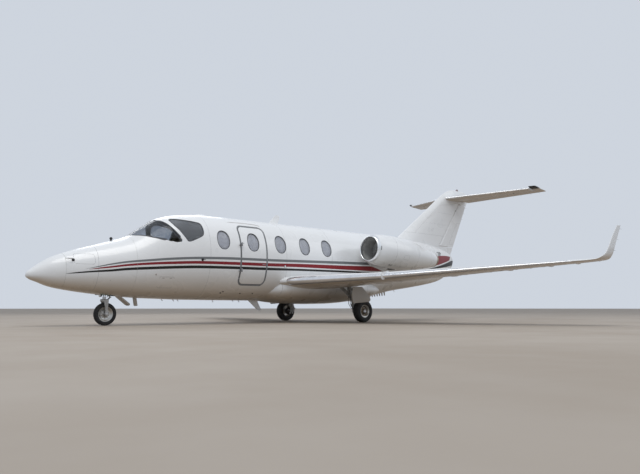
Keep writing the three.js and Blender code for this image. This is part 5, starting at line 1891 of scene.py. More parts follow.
kit = Kit()
foil_loft(kit, [0, 90, ELEVATOR_START - END_SLOT], tail_ring, (), TAIL_POLISH)
places = with_seams([ELEVATOR_START - END_SLOT, 400, 1100, 1900, ELEVATOR_END + END_SLOT], TAIL_SEAMS[:2])
foil_loft(kit, places, tail_main_ring, TAIL_SEAMS, TAIL_POLISH)
for y in (350.0, 1050.0, 1850.0):
    cover(kit, tail_point(y, 0.5, False, -0.5), 34, 4, 1.4, 1.0)
turned(kit, tail_point(1803.0, 0.42, False, -1), DOWN, [(0, 26), (5, 24), (9, 12)], 20, FOIL.black)
kit.piece("tailplane_left_skin", "airframe", "white_paint", FOIL.looks, ["tailplane"])
kit.piece("tailplane_right_skin", "airframe", "white_paint", FOIL.looks, mirror=True)

kit = Kit()
places = [ELEVATOR_START, 500, 1000, 1500, 2000, ELEVATOR_END]
loft(kit, [elevator_ring(y) for y in places], FOIL.white)
ELEVATOR_TAB = [(300, 0.985), (300, 0.91), (1150, 0.91), (1150, 0.985)]
for upper in (True, False):
    for path in on_skin(lambda y, share: tail_point(y, share, upper), ELEVATOR_TAB, 6):
        ribbon(kit, drooped(path), UP if upper else DOWN, 4.0)
for y in (1750.0, 2050.0, 2300.0):
    edge = elevator_ring(y)
    wick(kit, (edge[0] + edge[-1]) / 2, (15, 0, 0), (95, 0, 12))
end_pins(kit, [hinge_a, hinge_b])
# The horn balance: the tip ahead of the hinge turns with the elevator, its nose painted dark
HORN_CELLS = 14
rings = [tail_ring(y) for y in (ELEVATOR_END + END_SLOT + 6, 2420, TAIL_TIP)]
rings += [tail_tip_ring(t) for t in (10, 19, 26, 31, TIP_LENGTH)]
horn_nose = len(rings[0]) // 2


def horn_paint(_, i):
    return FOIL.black if abs(i - horn_nose + 0.5) < HORN_CELLS else FOIL.white


loft(kit, [drooped(ring) for ring in rings], horn_paint)
loft(kit, [elevator_ring(y) for y in (ELEVATOR_END - 1, ELEVATOR_END + END_SLOT + 7)], FOIL.white)
kit.pair("elevator_{}_skin", "elevator_{}", "white_paint", FOIL.looks, "elevator_{}")

# Beacon on top of the fin
kit = Kit()
turned(kit, (x_at(13520), 0, 4232), UP, [(0, 44), (10, 44), (12, 40), (12, 5)], 32, 0)
lens = [(0, 38), (14, 38), (28, 34), (40, 24), (47, 10), (48, 1)]
turned(kit, (x_at(13520), 0, 4243), UP, lens, 32, 1)
kit.piece("fin_beacon", "airframe", "fairing_paint", [WHITE, BEACON])

# Engines

ENGINE_AT = np.array([x_at(7880), 1285, 1866])
AFT = np.array([-0.997801, 0, -0.066274])
ENGINE_UP = np.cross(TO_PORT, AFT)
# Distance aft, radius
NACELLE_ROWS = [
    [80, 356],
    [200, 384],
    [450, 412],
    [850, 428],
    [1150, 424],
    [1500, 390],
    [1850, 342],
    [2200, 280],
    [2500, 218],
    [2620, 198],
]
NACELLE_START, NACELLE_END, NOZZLE_START = 80, 2620, 2566
NACELLE_SEAMS = [640, 1560, 2260]
DUCT_ROWS = [(NACELLE_END, 184), (2340, 205), (2010, 225), (1950, 262)]
DUCT_ROWS += [(760, 262), (760, 298), (420, 298), (80, 298)]
LIP_ROWS = [(79.6, 356), (62, 351.5), (45, 346), (30, 339.5), (17, 332), (8, 325), (2, 318), (0, 312)]
LIP_ROWS += [(2, 307), (7, 302.6), (14, 299.4), (24, 297), (40, 296), (60, 296.6), (79.6, 298)]
SPINNER_ROWS = [(240, 1), (243, 9), (252, 21), (270, 36), (300, 54), (340, 71), (385, 85), (430, 94)]
SPINNER_ROWS += [(470, 96), (530, 95), (530, 36), (389, 36), (389, 1)]
CORE_ROWS = [(390, 1), (390, 34), (560, 34), (566, 120), (640, 150), (700, 168), (780, 215), (800, 261)]
CORE_ROWS += [(1890, 261), (2010, 200), (2560, 168), (2650, 164), (2690, 162), (2690, 156), (2687, 153)]
CORE_ROWS += [(2560, 156), (2400, 164), (2250, 170), (2250, 90)]
CORE_ROWS += [(2300, 86), (2400, 52), (2480, 16), (2500, 1)]
OIL_DOOR = [(930, -28), (930, -12), (1130, -12), (1130, -28), (930, -28)]
# A blade's section: share of the half chord, share of the thickness
BLADE = ((-1, 0), (-0.7, 0.7), (0, 1), (0.6, 0.6), (1, 0), (0.6, -0.15), (0, 0), (-0.7, -0.1))
BLADE_BOW = 5
NACELLE = Palette(paint=NACELLE_PAINT, seam=SEAM, black=BLACK, duct=DUCT, steel=STEEL, nozzle=NOZZLE)
ENGINE = Palette(duct=DUCT, nozzle=NOZZLE, hot=HOT)
FAN = Palette(blade=FAN_METAL, spinner=SPINNER)


def nacelle_point(aft, angle, lift=0.0):
    """A place on the nacelle, and the way out of it: angle 0 is outboard, 90 is up."""
    a = math.radians(angle)
    out = np.array(TO_PORT) * math.cos(a) + ENGINE_UP * math.sin(a)
    return ENGINE_AT + AFT * aft + out * (float(pchip(NACELLE_ROWS, 1, aft)) + lift), out


def nacelle_line(kit, places, width, mat=NACELLE.seam, lift=0.4):
    path, ups = zip(*(nacelle_point(*place) for place in places))
    ribbon(kit, path, ups, width, mat, lift)


def nacelle_paint(aft):
    if aft > NOZZLE_START:
        return NACELLE.nozzle
    return NACELLE.seam if any(abs(aft - line) < 1.5 for line in NACELLE_SEAMS) else NACELLE.paint


def vanes(kit, count, radii, aft, chords, twists, thicks, mat, sweep=0.0, steps=6):
    """Blades round the engine's axis, each a twisted thin foil. Pairs are for its hub and its tip."""
    for k in range(count):
        a = 2 * math.pi * k / count
        radial = np.array(TO_PORT) * math.cos(a) - ENGINE_UP * math.sin(a)
        around = np.cross(AFT, radial)
        rings = []
        for t in np.linspace(0, 1, steps):
            sizes = (hub + (tip - hub) * t for hub, tip in (radii, chords, twists, thicks))
            radius, chord, twist, thick = sizes
            turn = math.radians(twist)
            line = AFT * math.cos(turn) + around * math.sin(turn)
            side = around * math.cos(turn) - AFT * math.sin(turn)
            middle = ENGINE_AT + AFT * (aft + sweep * t * t) + radial * radius
            lifts = [q * thick + BLADE_BOW * (1 - p * p) for p, q in BLADE]
            rings.append([middle + line * p * chord / 2 + side * s for (p, _), s in zip(BLADE, lifts)])
        loft(kit, rings, mat)


kit = Kit()
stations = [*np.linspace(NACELLE_START, NACELLE_END, 34), NOZZLE_START]
stations = with_seams(stations, NACELLE_SEAMS, 2.5)
outer_rows = [(s, float(pchip(NACELLE_ROWS, 1, s))) for s in stations]
mats = [nacelle_paint((a + b) / 2) for a, b in zip(stations, stations[1:])]
mats += [NACELLE.steel, *[NACELLE.duct] * 7, NACELLE.seam]
ringed(kit, ENGINE_AT, AFT, outer_rows + DUCT_ROWS, 96, mats)
for angle in (-62, 242, 88):
    nacelle_line(kit, [(aft, angle) for aft in np.linspace(640, 2260, 14)], 4.0)
# Latches along the lower joints
for angle, aft in product((-58, 246), (760, 1000, 1240, 1480)):
    nacelle_line(kit, [(aft + d, angle) for d in (-34, 0, 34)], 16, NACELLE.steel, 1.2)
# Oil door, starter vent, drain and breather outlets, inlet mark and scoop
for path in on_skin(lambda *place: place, OIL_DOOR, 5):
    nacelle_line(kit, path, 3.5)
for k in range(5):
    nacelle_line(kit, [(560 + 26 * k, angle) for angle in (-66, -62, -58)], 11, NACELLE.black, 0.8)
for aft, angle, reach in ((700, -88, 46), (1640, -80, 60), (1900, -96, 50)):
    p, n = nacelle_point(aft, angle)
    tube(kit, [p - n * 12, p + n * 22, p + n * reach + AFT * 30], [10, 9, 7], 14, NACELLE.steel, 4)
nacelle_line(kit, [(104, angle) for angle in (-8, 0, 8)], 40, NACELLE.black, 0.9)
scoop = [nacelle_point(aft, 94, 4)[0] for aft in (1010, 1045, 1115, 1150)]
tube(kit, scoop, [8, 23, 23, 8], 16, NACELLE.black)
kit.pair("nacelle_{}_skin", "airframe", "fairing_paint", NACELLE.looks, "nacelle_{}")

kit = ringed(Kit(), ENGINE_AT, AFT, LIP_ROWS, 120)
kit.pair("intake_lip_{}_ring", "airframe", "polished_metal", [LIP_METAL], "intake_lip_{}")

kit = turned(Kit(), ENGINE_AT, AFT, SPINNER_ROWS, 64, [FAN.spinner] * 8 + [FAN.blade])
vanes(kit, 26, (86, 283), 478, (82, 104), (30, 62), (6.5, 2.6), FAN.blade, -14)
kit.pair("fan_{}_wheel", "fan_{}", "fan_metal", FAN.looks, "fan_{}")

core_mats = [ENGINE.duct] * 9 + [ENGINE.hot] * 2 + [ENGINE.nozzle] * 5 + [ENGINE.hot]
kit = turned(Kit(), ENGINE_AT, AFT, CORE_ROWS, 72, core_mats)
vanes(kit, 34, (132, 297), 640, (60, 60), (12, 8), (3.5, 3.0), ENGINE.duct)
vanes(kit, 16, (80, 166), 2275, (40, 40), (6, 6), (4, 4), ENGINE.hot, 0, 3)
kit.pair("engine_{}_core", "airframe", "engine_metal", ENGINE.looks, "engine_{}")

# Pylons: they end just inside the nacelle's skin
# y, leading edge, trailing edge, height, thickness
PYLON_ROWS = [[350, 8350, 10700, 1840, 250], [1285, 8650, 10500, 1820, 170]]
PYLON_SINK = 9
PYLON_SHARES = [0.2, 0.45, 0.7, 0.9, 1.0]


def pylon_ring(y, front, rear, height, thick):
    chord = rear - front
    return foil_ring((x_at(front), y, height), chord, thick / chord, unit((-1, 0, -0.05)), UP)


inner_ring, outer_ring = (pylon_ring(*row) for row in PYLON_ROWS)


def toward_nacelle(shares):
    return inner_ring + (outer_ring - inner_ring) * shares[:, None]


low, high = np.zeros(len(inner_ring)), np.ones(len(inner_ring))
for _ in range(24):
    middle = (low + high) / 2
    offset = toward_nacelle(middle) - ENGINE_AT
    aft = offset @ AFT
    away = np.linalg.norm(offset - aft[:, None] * AFT, axis=1)
    outside = away > pchip(NACELLE_ROWS, 1, np.clip(aft, NACELLE_START, NACELLE_END)) - PYLON_SINK
    low, high = np.where(outside, middle, low), np.where(outside, high, middle)
contact = toward_nacelle(low)
kit = Kit()
foil_loft(kit, PYLON_SHARES, lambda share: inner_ring + (contact - inner_ring) * share, (), (0, 2))
kit.pair("pylon_{}_skin", "airframe", "fairing_paint", FOIL.looks, "pylon_{}")

# Landing gear: wheels

MAIN_RADIUS, MAIN_HALF = 275, 97.5
MAIN_AT = np.array([x_at(7411), 1510, MAIN_RADIUS])
# Half of the main tyre's tread: distance from the middle, height over the full radius
TREAD = [(10, 0), (13, -8), (19, -8), (22, -0.8), (44, -3), (47, -11), (53, -11), (56, -5)]
TREAD += [(70, -10), (80, -19), (88, -32), (94, -50), (97, -70)]
# The wall below it: share of the half width, share of the way down to the rim
TYRE_WALL = [(0.985, 0.35), (0.93, 0.65), (0.84, 0.88)]
MAIN_RIM = [(-62, 147), (-70, 158), (-72, 156), (-66, 144), (-50, 136), (-10, 128), (-6, 112)]
MAIN_RIM += [(-6, 62), (-40, 56), (-58, 50), (-58, 27), (62, 27), (62, 1), (82, 1), (84, 30)]
MAIN_RIM += [(80, 36), (62, 42), (44, 52), (38, 60), (30, 72), (26, 100), (34, 116), (56, 124)]
MAIN_RIM += [(66, 132), (72, 146), (74, 157), (70, 160), (62, 147)]
MAIN_HUB = Palette(rim=RIM, dark=HUB_DARK, steel=STEEL)
GEAR = Palette(paint=GEAR_PAINT, chrome=CHROME, brake=BRAKE, hose=HOSE, steel=STEEL, white=WHITE)


def both_sides(half_profile):
    return [*((-y, r) for y, r in half_profile[::-1]), *half_profile]


def round_axle(centre, count, radius, phase=0.0):
    """Places evenly round an axle."""
    for k in range(count):
        a = phase + 2 * math.pi * k / count
        yield np.asarray(centre, float) + (radius * math.cos(a), 0, radius * math.sin(a))


def tyre(kit, centre, radius, half, rim, scale=1.0):
    """A tyre with four grooves, turned about its axle."""
    right = [(y * half / MAIN_HALF, radius + d * scale) for y, d in TREAD]
    low = right[-1][1]
    right += [(half * across, low - (low - rim) * down) for across, down in TYRE_WALL]
    right += [(half * 0.74, rim + 1), (half * 0.62, rim - 3)]
    return ringed(kit, centre, TO_PORT, both_sides(right), 96)


def bolts(kit, centre, count, ring, y0, y1, size, mat, phase=0.0, outward=TO_PORT):
    """Six-sided bolts round an axle, from y0 to y1 along it."""
    head = [(0, size), (y1 - y0 - size * 0.3, size), (y1 - y0, size * 0.7)]
    for at in round_axle(centre, count, ring, phase):
        turned(kit, at + np.array(outward) * y0, outward, head, 6, mat)


kit = tyre(Kit(), MAIN_AT, MAIN_RADIUS, MAIN_HALF, 150)
kit.pair("main_wheel_{}_tread", "main_wheel_{}", "tyre_rubber", [RUBBER], "main_wheel_{}_tyre")
rim_mats = [MAIN_HUB.rim] * 12 + [MAIN_HUB.steel] * 4 + [MAIN_HUB.dark] * 5 + [MAIN_HUB.rim]
kit = ringed(Kit(), MAIN_AT, TO_PORT, MAIN_RIM, 72, rim_mats)
bolts(kit, MAIN_AT, 10, 88, 26, 40, 8, MAIN_HUB.rim)
bolts(kit, MAIN_AT, 8, 45, 58, 70, 4.5, MAIN_HUB.steel, 0.2)
valve = [MAIN_AT + (96.6, 62, 96.6), MAIN_AT + (92.4, 84, 92.4)]
tube(kit, valve, [4.5, 3.5], 8, MAIN_HUB.dark)
kit.pair("main_wheel_{}_hub", "main_wheel_{}", "wheel_alloy", MAIN_HUB.looks, "main_wheel_{}_rim")

# Main legs: strut, trailing arm, shock strut, brace, brake and lines
TRUNNION = np.array([x_at(7190), 1225, 990])
ELBOW = np.array([x_at(7372), 1225, 420])
LEG_WAY = unit(ELBOW - TRUNNION)
LEG_LENGTH = float(np.linalg.norm(ELBOW - TRUNNION))
AXLE_INNER = np.array([MAIN_AT[0], 1180, MAIN_RADIUS])
STRUT_ROWS = [(-6, 40), (0, 46), (150, 46), (156, 52), (186, 52), (192, 44), (380, 40)]
STRUT_ROWS += [(388, 47), (420, 47), (428, 38), (560, 36), (LEG_LENGTH, 40)]
ELBOW_ROWS = [(0, 26), (4, 40), (30, 42), (34, 34), (78, 34), (82, 42), (108, 40), (112, 26)]
AXLE_ROWS = [(0, 30), (4, 44), (84, 44), (90, 34), (232, 30), (240, 25.5), (388, 25.5)]
BRAKE_ROWS = [(0, 60), (2, 92), (18, 96), (20, 88), (26, 88), (28, 100), (52, 100), (54, 90)]
BRAKE_ROWS += [(60, 90), (62, 100), (86, 100), (88, 90), (94, 90), (96, 102), (134, 102), (136, 70)]
LEG_DOOR_Y = 1615


def on_leg(along, x=0, y=0, z=0):
    """A place beside the strut, at a distance down it."""
    return TRUNNION + LEG_WAY * along + (x, y, z)


kit = turned(Kit(), TRUNNION, LEG_WAY, STRUT_ROWS, 36, GEAR.paint)
turned(kit, ELBOW - (0, 56, 0), TO_PORT, ELBOW_ROWS, 32, GEAR.paint)
turned(kit, AXLE_INNER, TO_PORT, AXLE_ROWS, 32, GEAR.paint)
arm = [ELBOW + (x, 0, z) for x, z in ((-34, 6), (34, -6))]
arm += [AXLE_INNER + (x, 0, z) for x, z in ((40, 0), (24, -32), (-24, -32), (-44, 6))]
for y in (1196, 1236):
    loft(kit, [np.array(arm) * (1, 0, 1) + (0, side, 0) for side in (y, y + 20)], GEAR.paint)
shock_top, shock_foot = on_leg(170, -86), AXLE_INNER + (-78, 45, 60)
shock_way = unit(shock_foot - shock_top)
shock_length = float(np.linalg.norm(shock_foot - shock_top))
shock_rows = [(shock_length * share, r) for share, r in ((0.55, 30), (0.57, 34), (0.61, 34), (0.62, 19))]
turned(kit, shock_top, shock_way, [(0, 20), (6, 30), *shock_rows], 28, GEAR.paint)
piston_top = shock_top + shock_way * shock_length * 0.6
turned(kit, piston_top, shock_way, [(0, 18), (shock_length * 0.36, 18)], 24, GEAR.chrome)
for at in (shock_top, shock_foot):
    turned(kit, at - (0, 34, 0), TO_PORT, rod(68, 24, 16, 3), 24, GEAR.steel)
block(kit, shock_top + (-6, -20, -22), on_leg(170, 10, 20, 22), 6, GEAR.paint)
tube(kit, [shock_foot, AXLE_INNER + (-10, 40, 6)], [20, 26], 14, GEAR.paint)
# Folding brace forward and inboard
brace_top = np.array([x_at(6985), 1150, 880])
tube(kit, [brace_top, on_leg(400, 30, -20)], [17, 15], 16, GEAR.paint)
tube(kit, [brace_top - (0, 46, 0), on_leg(400, 30, -46)], 11, 12, GEAR.steel)
tube(kit, [(x_at(7260), 880, 905), on_leg(300, 0, -40)], [20, 18], 16, GEAR.paint)
tube(kit, [(x_at(7260), 872, 860), on_leg(360, 0, -40)], 12, 12, GEAR.chrome)
block(kit, on_leg(400, 10, -66, -18), on_leg(400, 50, 30, 18), 5, GEAR.paint)
# Brake: torque plate, discs and five cylinders
turned(kit, AXLE_INNER + (0, 88, 0), TO_PORT, BRAKE_ROWS, 48, GEAR.brake)
for at in round_axle(AXLE_INNER + (0, 66, 0), 5, 76, math.pi / 10):
    turned(kit, at, TO_PORT, [(0, 14), (3, 18), (26, 18)], 18, GEAR.steel)
# Lines and their clips
for side, reach in ((-1, 58), (1, 50)):
    path = [
        on_leg(60, reach * 0.8, side * 18),
        on_leg(260, reach, side * 22),
        on_leg(430, reach + 24, side * 24),
        on_leg(520, reach + 58, side * 26, -30),
        ELBOW + (62, side * 20, -66),
        AXLE_INNER + (64, 70 + side * 12, 30),
    ]
    tube(kit, path, 6.5, 10, GEAR.hose, 6)
for along in (110, 250, 400):
    turned(kit, on_leg(along), LEG_WAY, rod(16, 55, 49, 2), 32, GEAR.steel)
# Links that hold the leg door
for share in (0.3, 0.62):
    x, y, z = on_leg(LEG_LENGTH * share)
    tube(kit, [(x, y + 30, z), (x, LEG_DOOR_Y - 1, z)], [15, 12], 14, GEAR.paint)
    turned(kit, (x, LEG_DOOR_Y - 14, z), TO_PORT, [(0, 18), (3, 26), (13.3, 28)], 20, GEAR.paint)
kit.pair("main_leg_{}_strut", "airframe", "gear_steel", GEAR.looks, "main_leg_{}")

# Leg doors: a skin with a folded edge, stiffeners behind and a row of screws
LEG_DOOR = [[6967, 850], [7278, 862], [7512, 657], [7582, 549], [7521, 496], [6963, 460], [6924, 650]]
# How far in from the outline, how far out from the door's plane
LEG_DOOR_LAYERS = ((4, 0), (0, 3), (0, 11), (3, 13.5), (60, 15), (170, 16))
# The door skins take the darker paint that holds painted shade and painted reflection of the ground.
GEAR_PANEL = Palette(skin=SHADED_GEAR_DOOR_PAINT, frame=GEAR_PAINT, steel=STEEL)
flat = np.array([[x_at(s), 0, z] for s, z in rounded_outline(LEG_DOOR, 34)])
middle = flat.mean(0)
length = np.linalg.norm(flat - middle, axis=1, keepdims=True)
rings = [
    middle + (flat - middle) * (length - inset) / length + (0, LEG_DOOR_Y + out, 0)
    for inset, out in LEG_DOOR_LAYERS
]
kit = loft(Kit(), rings, GEAR_PANEL.skin)
for rear, z0, z1 in ((7480, 560, 590), (7340, 720, 745)):
    low, high = (x_at(rear), LEG_DOOR_Y - 12, z0), (x_at(6980), LEG_DOOR_Y + 2, z1)
    block(kit, low, high, 4, GEAR_PANEL.frame)
for s in range(7000, 7500, 46):
    at = (x_at(s), LEG_DOOR_Y + 14.2, 505 + (s - 7000) * 0.05)
    turned(kit, at, TO_PORT, [(0, 6), (1.2, 5)], 10, GEAR_PANEL.steel)
kit.pair("leg_door_{}_panel", "airframe", "white_paint", GEAR_PANEL.looks, "leg_door_{}")

# Nose leg
NOSE_RADIUS, NOSE_HALF = 228.5, 56
NOSE_AT = np.array([x_at(1551), 0, NOSE_RADIUS])
STEER_X = x_at(1522)
NOSE_STRUT = [(0, 30), (2, 34), (40, 34), (42, 30), (120, 30)]
NOSE_STRUT += [(122, 46), (128, 50), (150, 50), (156, 44), (331, 44)]
NOSE_TRUNNION = [(0, 18), (3, 24), (60, 24), (66, 34), (96, 36)]
NOSE_TRUNNION += [(203, 36), (233, 34), (239, 24), (296, 24), (299.2, 18)]
ACTUATOR = [(0, 14), (3, 22), (60, 22), (64, 12), (110, 12), (114, 20), (160, 20)]
LAMP = [(-34, 14), (-20, 38), (10, 46), (18, 48), (20, 46), (20, 6)]
strut_mats = [GEAR.steel] * 3 + [GEAR.chrome] * 2 + [GEAR.paint]
kit = turned(Kit(), (STEER_X, 0, 528.4), UP, NOSE_STRUT, 36, strut_mats)
turned(kit, (STEER_X, -149.6, 780), TO_PORT, NOSE_TRUNNION, 28, GEAR.paint)
# Drag brace behind the leg, and the steering unit
for side in SIGNS:
    tube(kit, [(STEER_X - 10, side * 44, 640), (x_at(1682), side * 70, 838)], 13, 12, GEAR.paint)
brace = [(STEER_X, 0, 650), (x_at(1600), 0, 760), (x_at(1660), 0, 842)]
tube(kit, brace, [20, 18, 16], 14, GEAR.paint)
turned(kit, (STEER_X + 10, -82, 668), TO_PORT, ACTUATOR, 20, GEAR.steel)
# Landing light in front of the leg
lamp_at = np.array([STEER_X + 96, 46, 612])
tube(kit, [(STEER_X + 20, 20, 640), lamp_at + (-20, 0, 10)], 9, 10, GEAR.paint)
lamp_mats = [GEAR.hose] * 2 + [GEAR.steel] * 2 + [GEAR.white]
turned(kit, lamp_at, (1, 0, -0.05), LAMP, 32, lamp_mats)
nose_line = ((-40, 30, 850), (-52, 34, 720), (-58, 30, 600), (-46, 26, 560))
tube(kit, [(STEER_X + x, y, z) for x, y, z in nose_line], 6, 10, GEAR.hose, 6)
kit.piece("nose_leg_strut", "airframe", "gear_steel", GEAR.looks, ["nose_leg"])

# Nose fork
FORK_ARM = [[1488, 510], [1580, 510], [1584, 440], [1574, 300], [1590, 240], [1582, 205]]
FORK_ARM += [[1551, 190], [1520, 205], [1512, 240], [1528, 300], [1500, 440]]
kit = block(Kit(), (x_at(1584), -83, 474), (x_at(1472), 83, 528), 12, GEAR.paint)
turned(kit, (STEER_X, 0, 505), UP, [(0, 52), (22.8, 52), (23, 30)], 32, GEAR.paint)
ring = np.array([[x_at(s), 0, z] for s, z in smooth_curve(FORK_ARM, 4, closed=True)])
small = ring.mean(0) + (ring - ring.mean(0)) * 0.94
cap_rows = [(0, 27), (6, 27), (8, 20), (12, 20), (14, 8)]
for side in SIGNS:
    layers = ((small, 67.5), (ring, 70.5), (ring, 81), (small, 84))
    loft(kit, [points + (0, side * y, 0) for points, y in layers], GEAR.paint)
    cap_mats = [GEAR.paint] * 2 + [GEAR.steel]
    turned(kit, NOSE_AT + (0, side * 83, 0), (0, side, 0), cap_rows, 24, cap_mats)
tube(kit, [NOSE_AT - (0, 70, 0), NOSE_AT + (0, 70, 0)], 16.5, 20, GEAR.steel)
# Torque links behind the fork
links = ((-44, 29, 640), (-128, 15, 568), (-60, 29, 500))
for ends, side in product(zip(links, links[1:]), SIGNS):
    tube(kit, [(STEER_X + x, side * y, z) for x, y, z in ends], [10, 8], 10, GEAR.paint)
turned(kit, (STEER_X - 128, -26, 568), TO_PORT, rod(52, 13, 9, 2), 16, GEAR.steel)
kit.piece("nose_fork_yoke", "nose_fork", "gear_steel", GEAR.looks, ["nose_fork"])

# Nose wheel
NOSE_RIM = [(26, 17.5), (36, 17.5), (36, 44), (30, 50), (12, 60), (8, 84), (12, 112)]
NOSE_RIM += [(24, 126), (34, 138), (40, 152), (42, 159), (38, 161), (32, 147)]
NOSE_HUB = Palette(rim=RIM, steel=STEEL, plastic=BLACK_PLASTIC)
kit = tyre(Kit(), NOSE_AT, NOSE_RADIUS, NOSE_HALF, 150, 0.62)
kit.piece("nose_wheel_tread", "nose_wheel", "tyre_rubber", [RUBBER], ["nose_wheel_tyre"])
kit = ringed(Kit(), NOSE_AT, TO_PORT, both_sides(NOSE_RIM), 72, NOSE_HUB.rim)
cap_rows = [(0, 19), (0, 42), (6, 41), (8, 36), (8, 22)]
for side in SIGNS:
    out = (0, side, 0)
    bolts(kit, NOSE_AT, 8, 98, 7, 15, 7, NOSE_HUB.steel, 0.1, out)
    ringed(kit, NOSE_AT + (0, side * 36.2, 0), out, cap_rows, 32, NOSE_HUB.plastic)
    for at in round_axle(NOSE_AT + (0, side * 9, 0), 10, 76, math.pi / 10):
        turned(kit, at, out, [(0, 9.5), (1.6, 9.5), (1.8, 6)], 14, NOSE_HUB.plastic)
kit.piece("nose_wheel_hub", "nose_wheel", "wheel_alloy", NOSE_HUB.looks, ["nose_wheel_rim"])

# Nose gear doors
# Half width, then station and height of two corners on top and two below
NOSE_DOORS = {
    "front": (100, ((1712, 640), (1742, 660), (2045, 408), (2030, 396))),
    "rear": (75, ((2150, 620), (2168, 620), (2212, 392), (2194, 390))),
}
for name, (half, corners) in NOSE_DOORS.items():
    c0, c1, c2, c3 = np.array(corners, float)
    rings = []
    for y in np.linspace(-half, half, 11):
        share = abs(y) / half
        shorter = 0.05 * share**6
        ring = (c0, c1, c2 + (c1 - c2) * shorter, c3 + (c0 - c3) * shorter)
        rings.append([(x_at(s), y, z + 3.2 * share**2) for s, z in ring])
    kit = loft(Kit(), rings, GEAR_PANEL.skin)
    (s1, z1), (s2, z2) = c1, c2
    for y in (-half * 0.6, 0, half * 0.6):
        tube(kit, [(x_at(s1 + 6), y, z1 - 6), (x_at(s2 + 4), y, z2 + 22)], 7, 8, GEAR_PANEL.frame)
    bar = [(x_at(s1 - 2), y, z1 + 6) for y in (-half * 0.8, half * 0.8)]
    tube(kit, bar, 9, 12, GEAR_PANEL.steel)
    s, z = (c1 + c2) / 2
    tube(kit, [(x_at(s), 0, z), (x_at(s - 60), 0, 690)], 9, 10, GEAR_PANEL.steel)
    panel = f"nose_gear_door_{name}"
    kit.piece(f"{panel}_panel", "airframe", "white_paint", GEAR_PANEL.looks, [panel])

# Small fittings on the fuselage

# panel is the darker paint with painted shade, used for the teeth under the tail.
FITTINGS = Palette(
    white=WHITE, plastic=BLACK_PLASTIC, steel=STEEL, seam=SEAM, chrome=CHROME, panel=SHADED_GEAR_DOOR_PAINT
)
BALL_STATION, BALL_RADIUS = 1619, 31
# Station of the front, height, chord, thickness share
AERIALS = (
    [(5600, 2424, 330, 0.1), (5640, 2440, 290, 0.07), (5790, 2600, 190, 0.06), (5846, 2662, 128, 0.05)],
    [(3560, 2418, 330, 0.22), (3572, 2440, 306, 0.2), (3600, 2456, 244, 0.16), (3640, 2462, 150, 0.08)],
    [(5340, 290, 96, 0.07), (5290, 326, 140, 0.08), (5080, 500, 250, 0.08), (5030, 534, 300, 0.1)],
)
# Station, height, radius
STATIC_PLATES = ((2290, 1020, 20), (3577, 884, 11), (1420, 884, 11), (4262, 1000, 9))
VENTS = ((3940, 680, 20), (4465, 678, 15), (4810, 680, 17))
# Front, rear, bottom, top
HATCHES = ((8760, 9420, 1240, 1690), (2380, 2700, 760, 980), (10300, 10700, 1240, 1450))
# Station, y, length
DRAINS = ((4050, 0, 44), (2778, 0, 34), (3051, 0, 36), (3160, 0, 34))
DRAINS += ((4594, 0, 22), (4763, 0, 38), (10200, 60, 45))
BAY_DOORS_HALF, BAY_DOORS_ENDS = 112, (1700, 2060, 2290)
TOOTH_START, TOOTH_STEP = 9215, 102


def on_hull(station, height, side=PORT):
    """A place on the fuselage's side at a height, with the way out."""
    turn = float(hull.side_turn(station, height))
    turn = turn if side == PORT else 1 - turn
    p = hull.point(float(station), turn)
    n = hull.normal(np.array([float(station)]), np.array([turn]))[0]
    waist = np.array([p[0], 0, float(hull.sizes(station)[3])])
    return p, n if n @ (p - waist) > 0 else -n


def hull_line(kit, places, side, width, mat, lift=0.5):
    path, ups = zip(*(on_hull(s, z, side) for s, z in places))
    ribbon(kit, path, ups, width, mat, lift)


def fitting(kit, station, height, side, profile, facets, mats, sink=3):
    """A round fitting set into the fuselage's side. Returns its place and the way out."""
    foot, out = on_hull(station, height, side)
    turned(kit, foot - out * sink, out, profile, facets, mats)
    return foot, out


def under_hull(station, y):
    return x_at(station), y, float(hull.point(float(station), 0.0)[2]) + 0.0009 * y * y


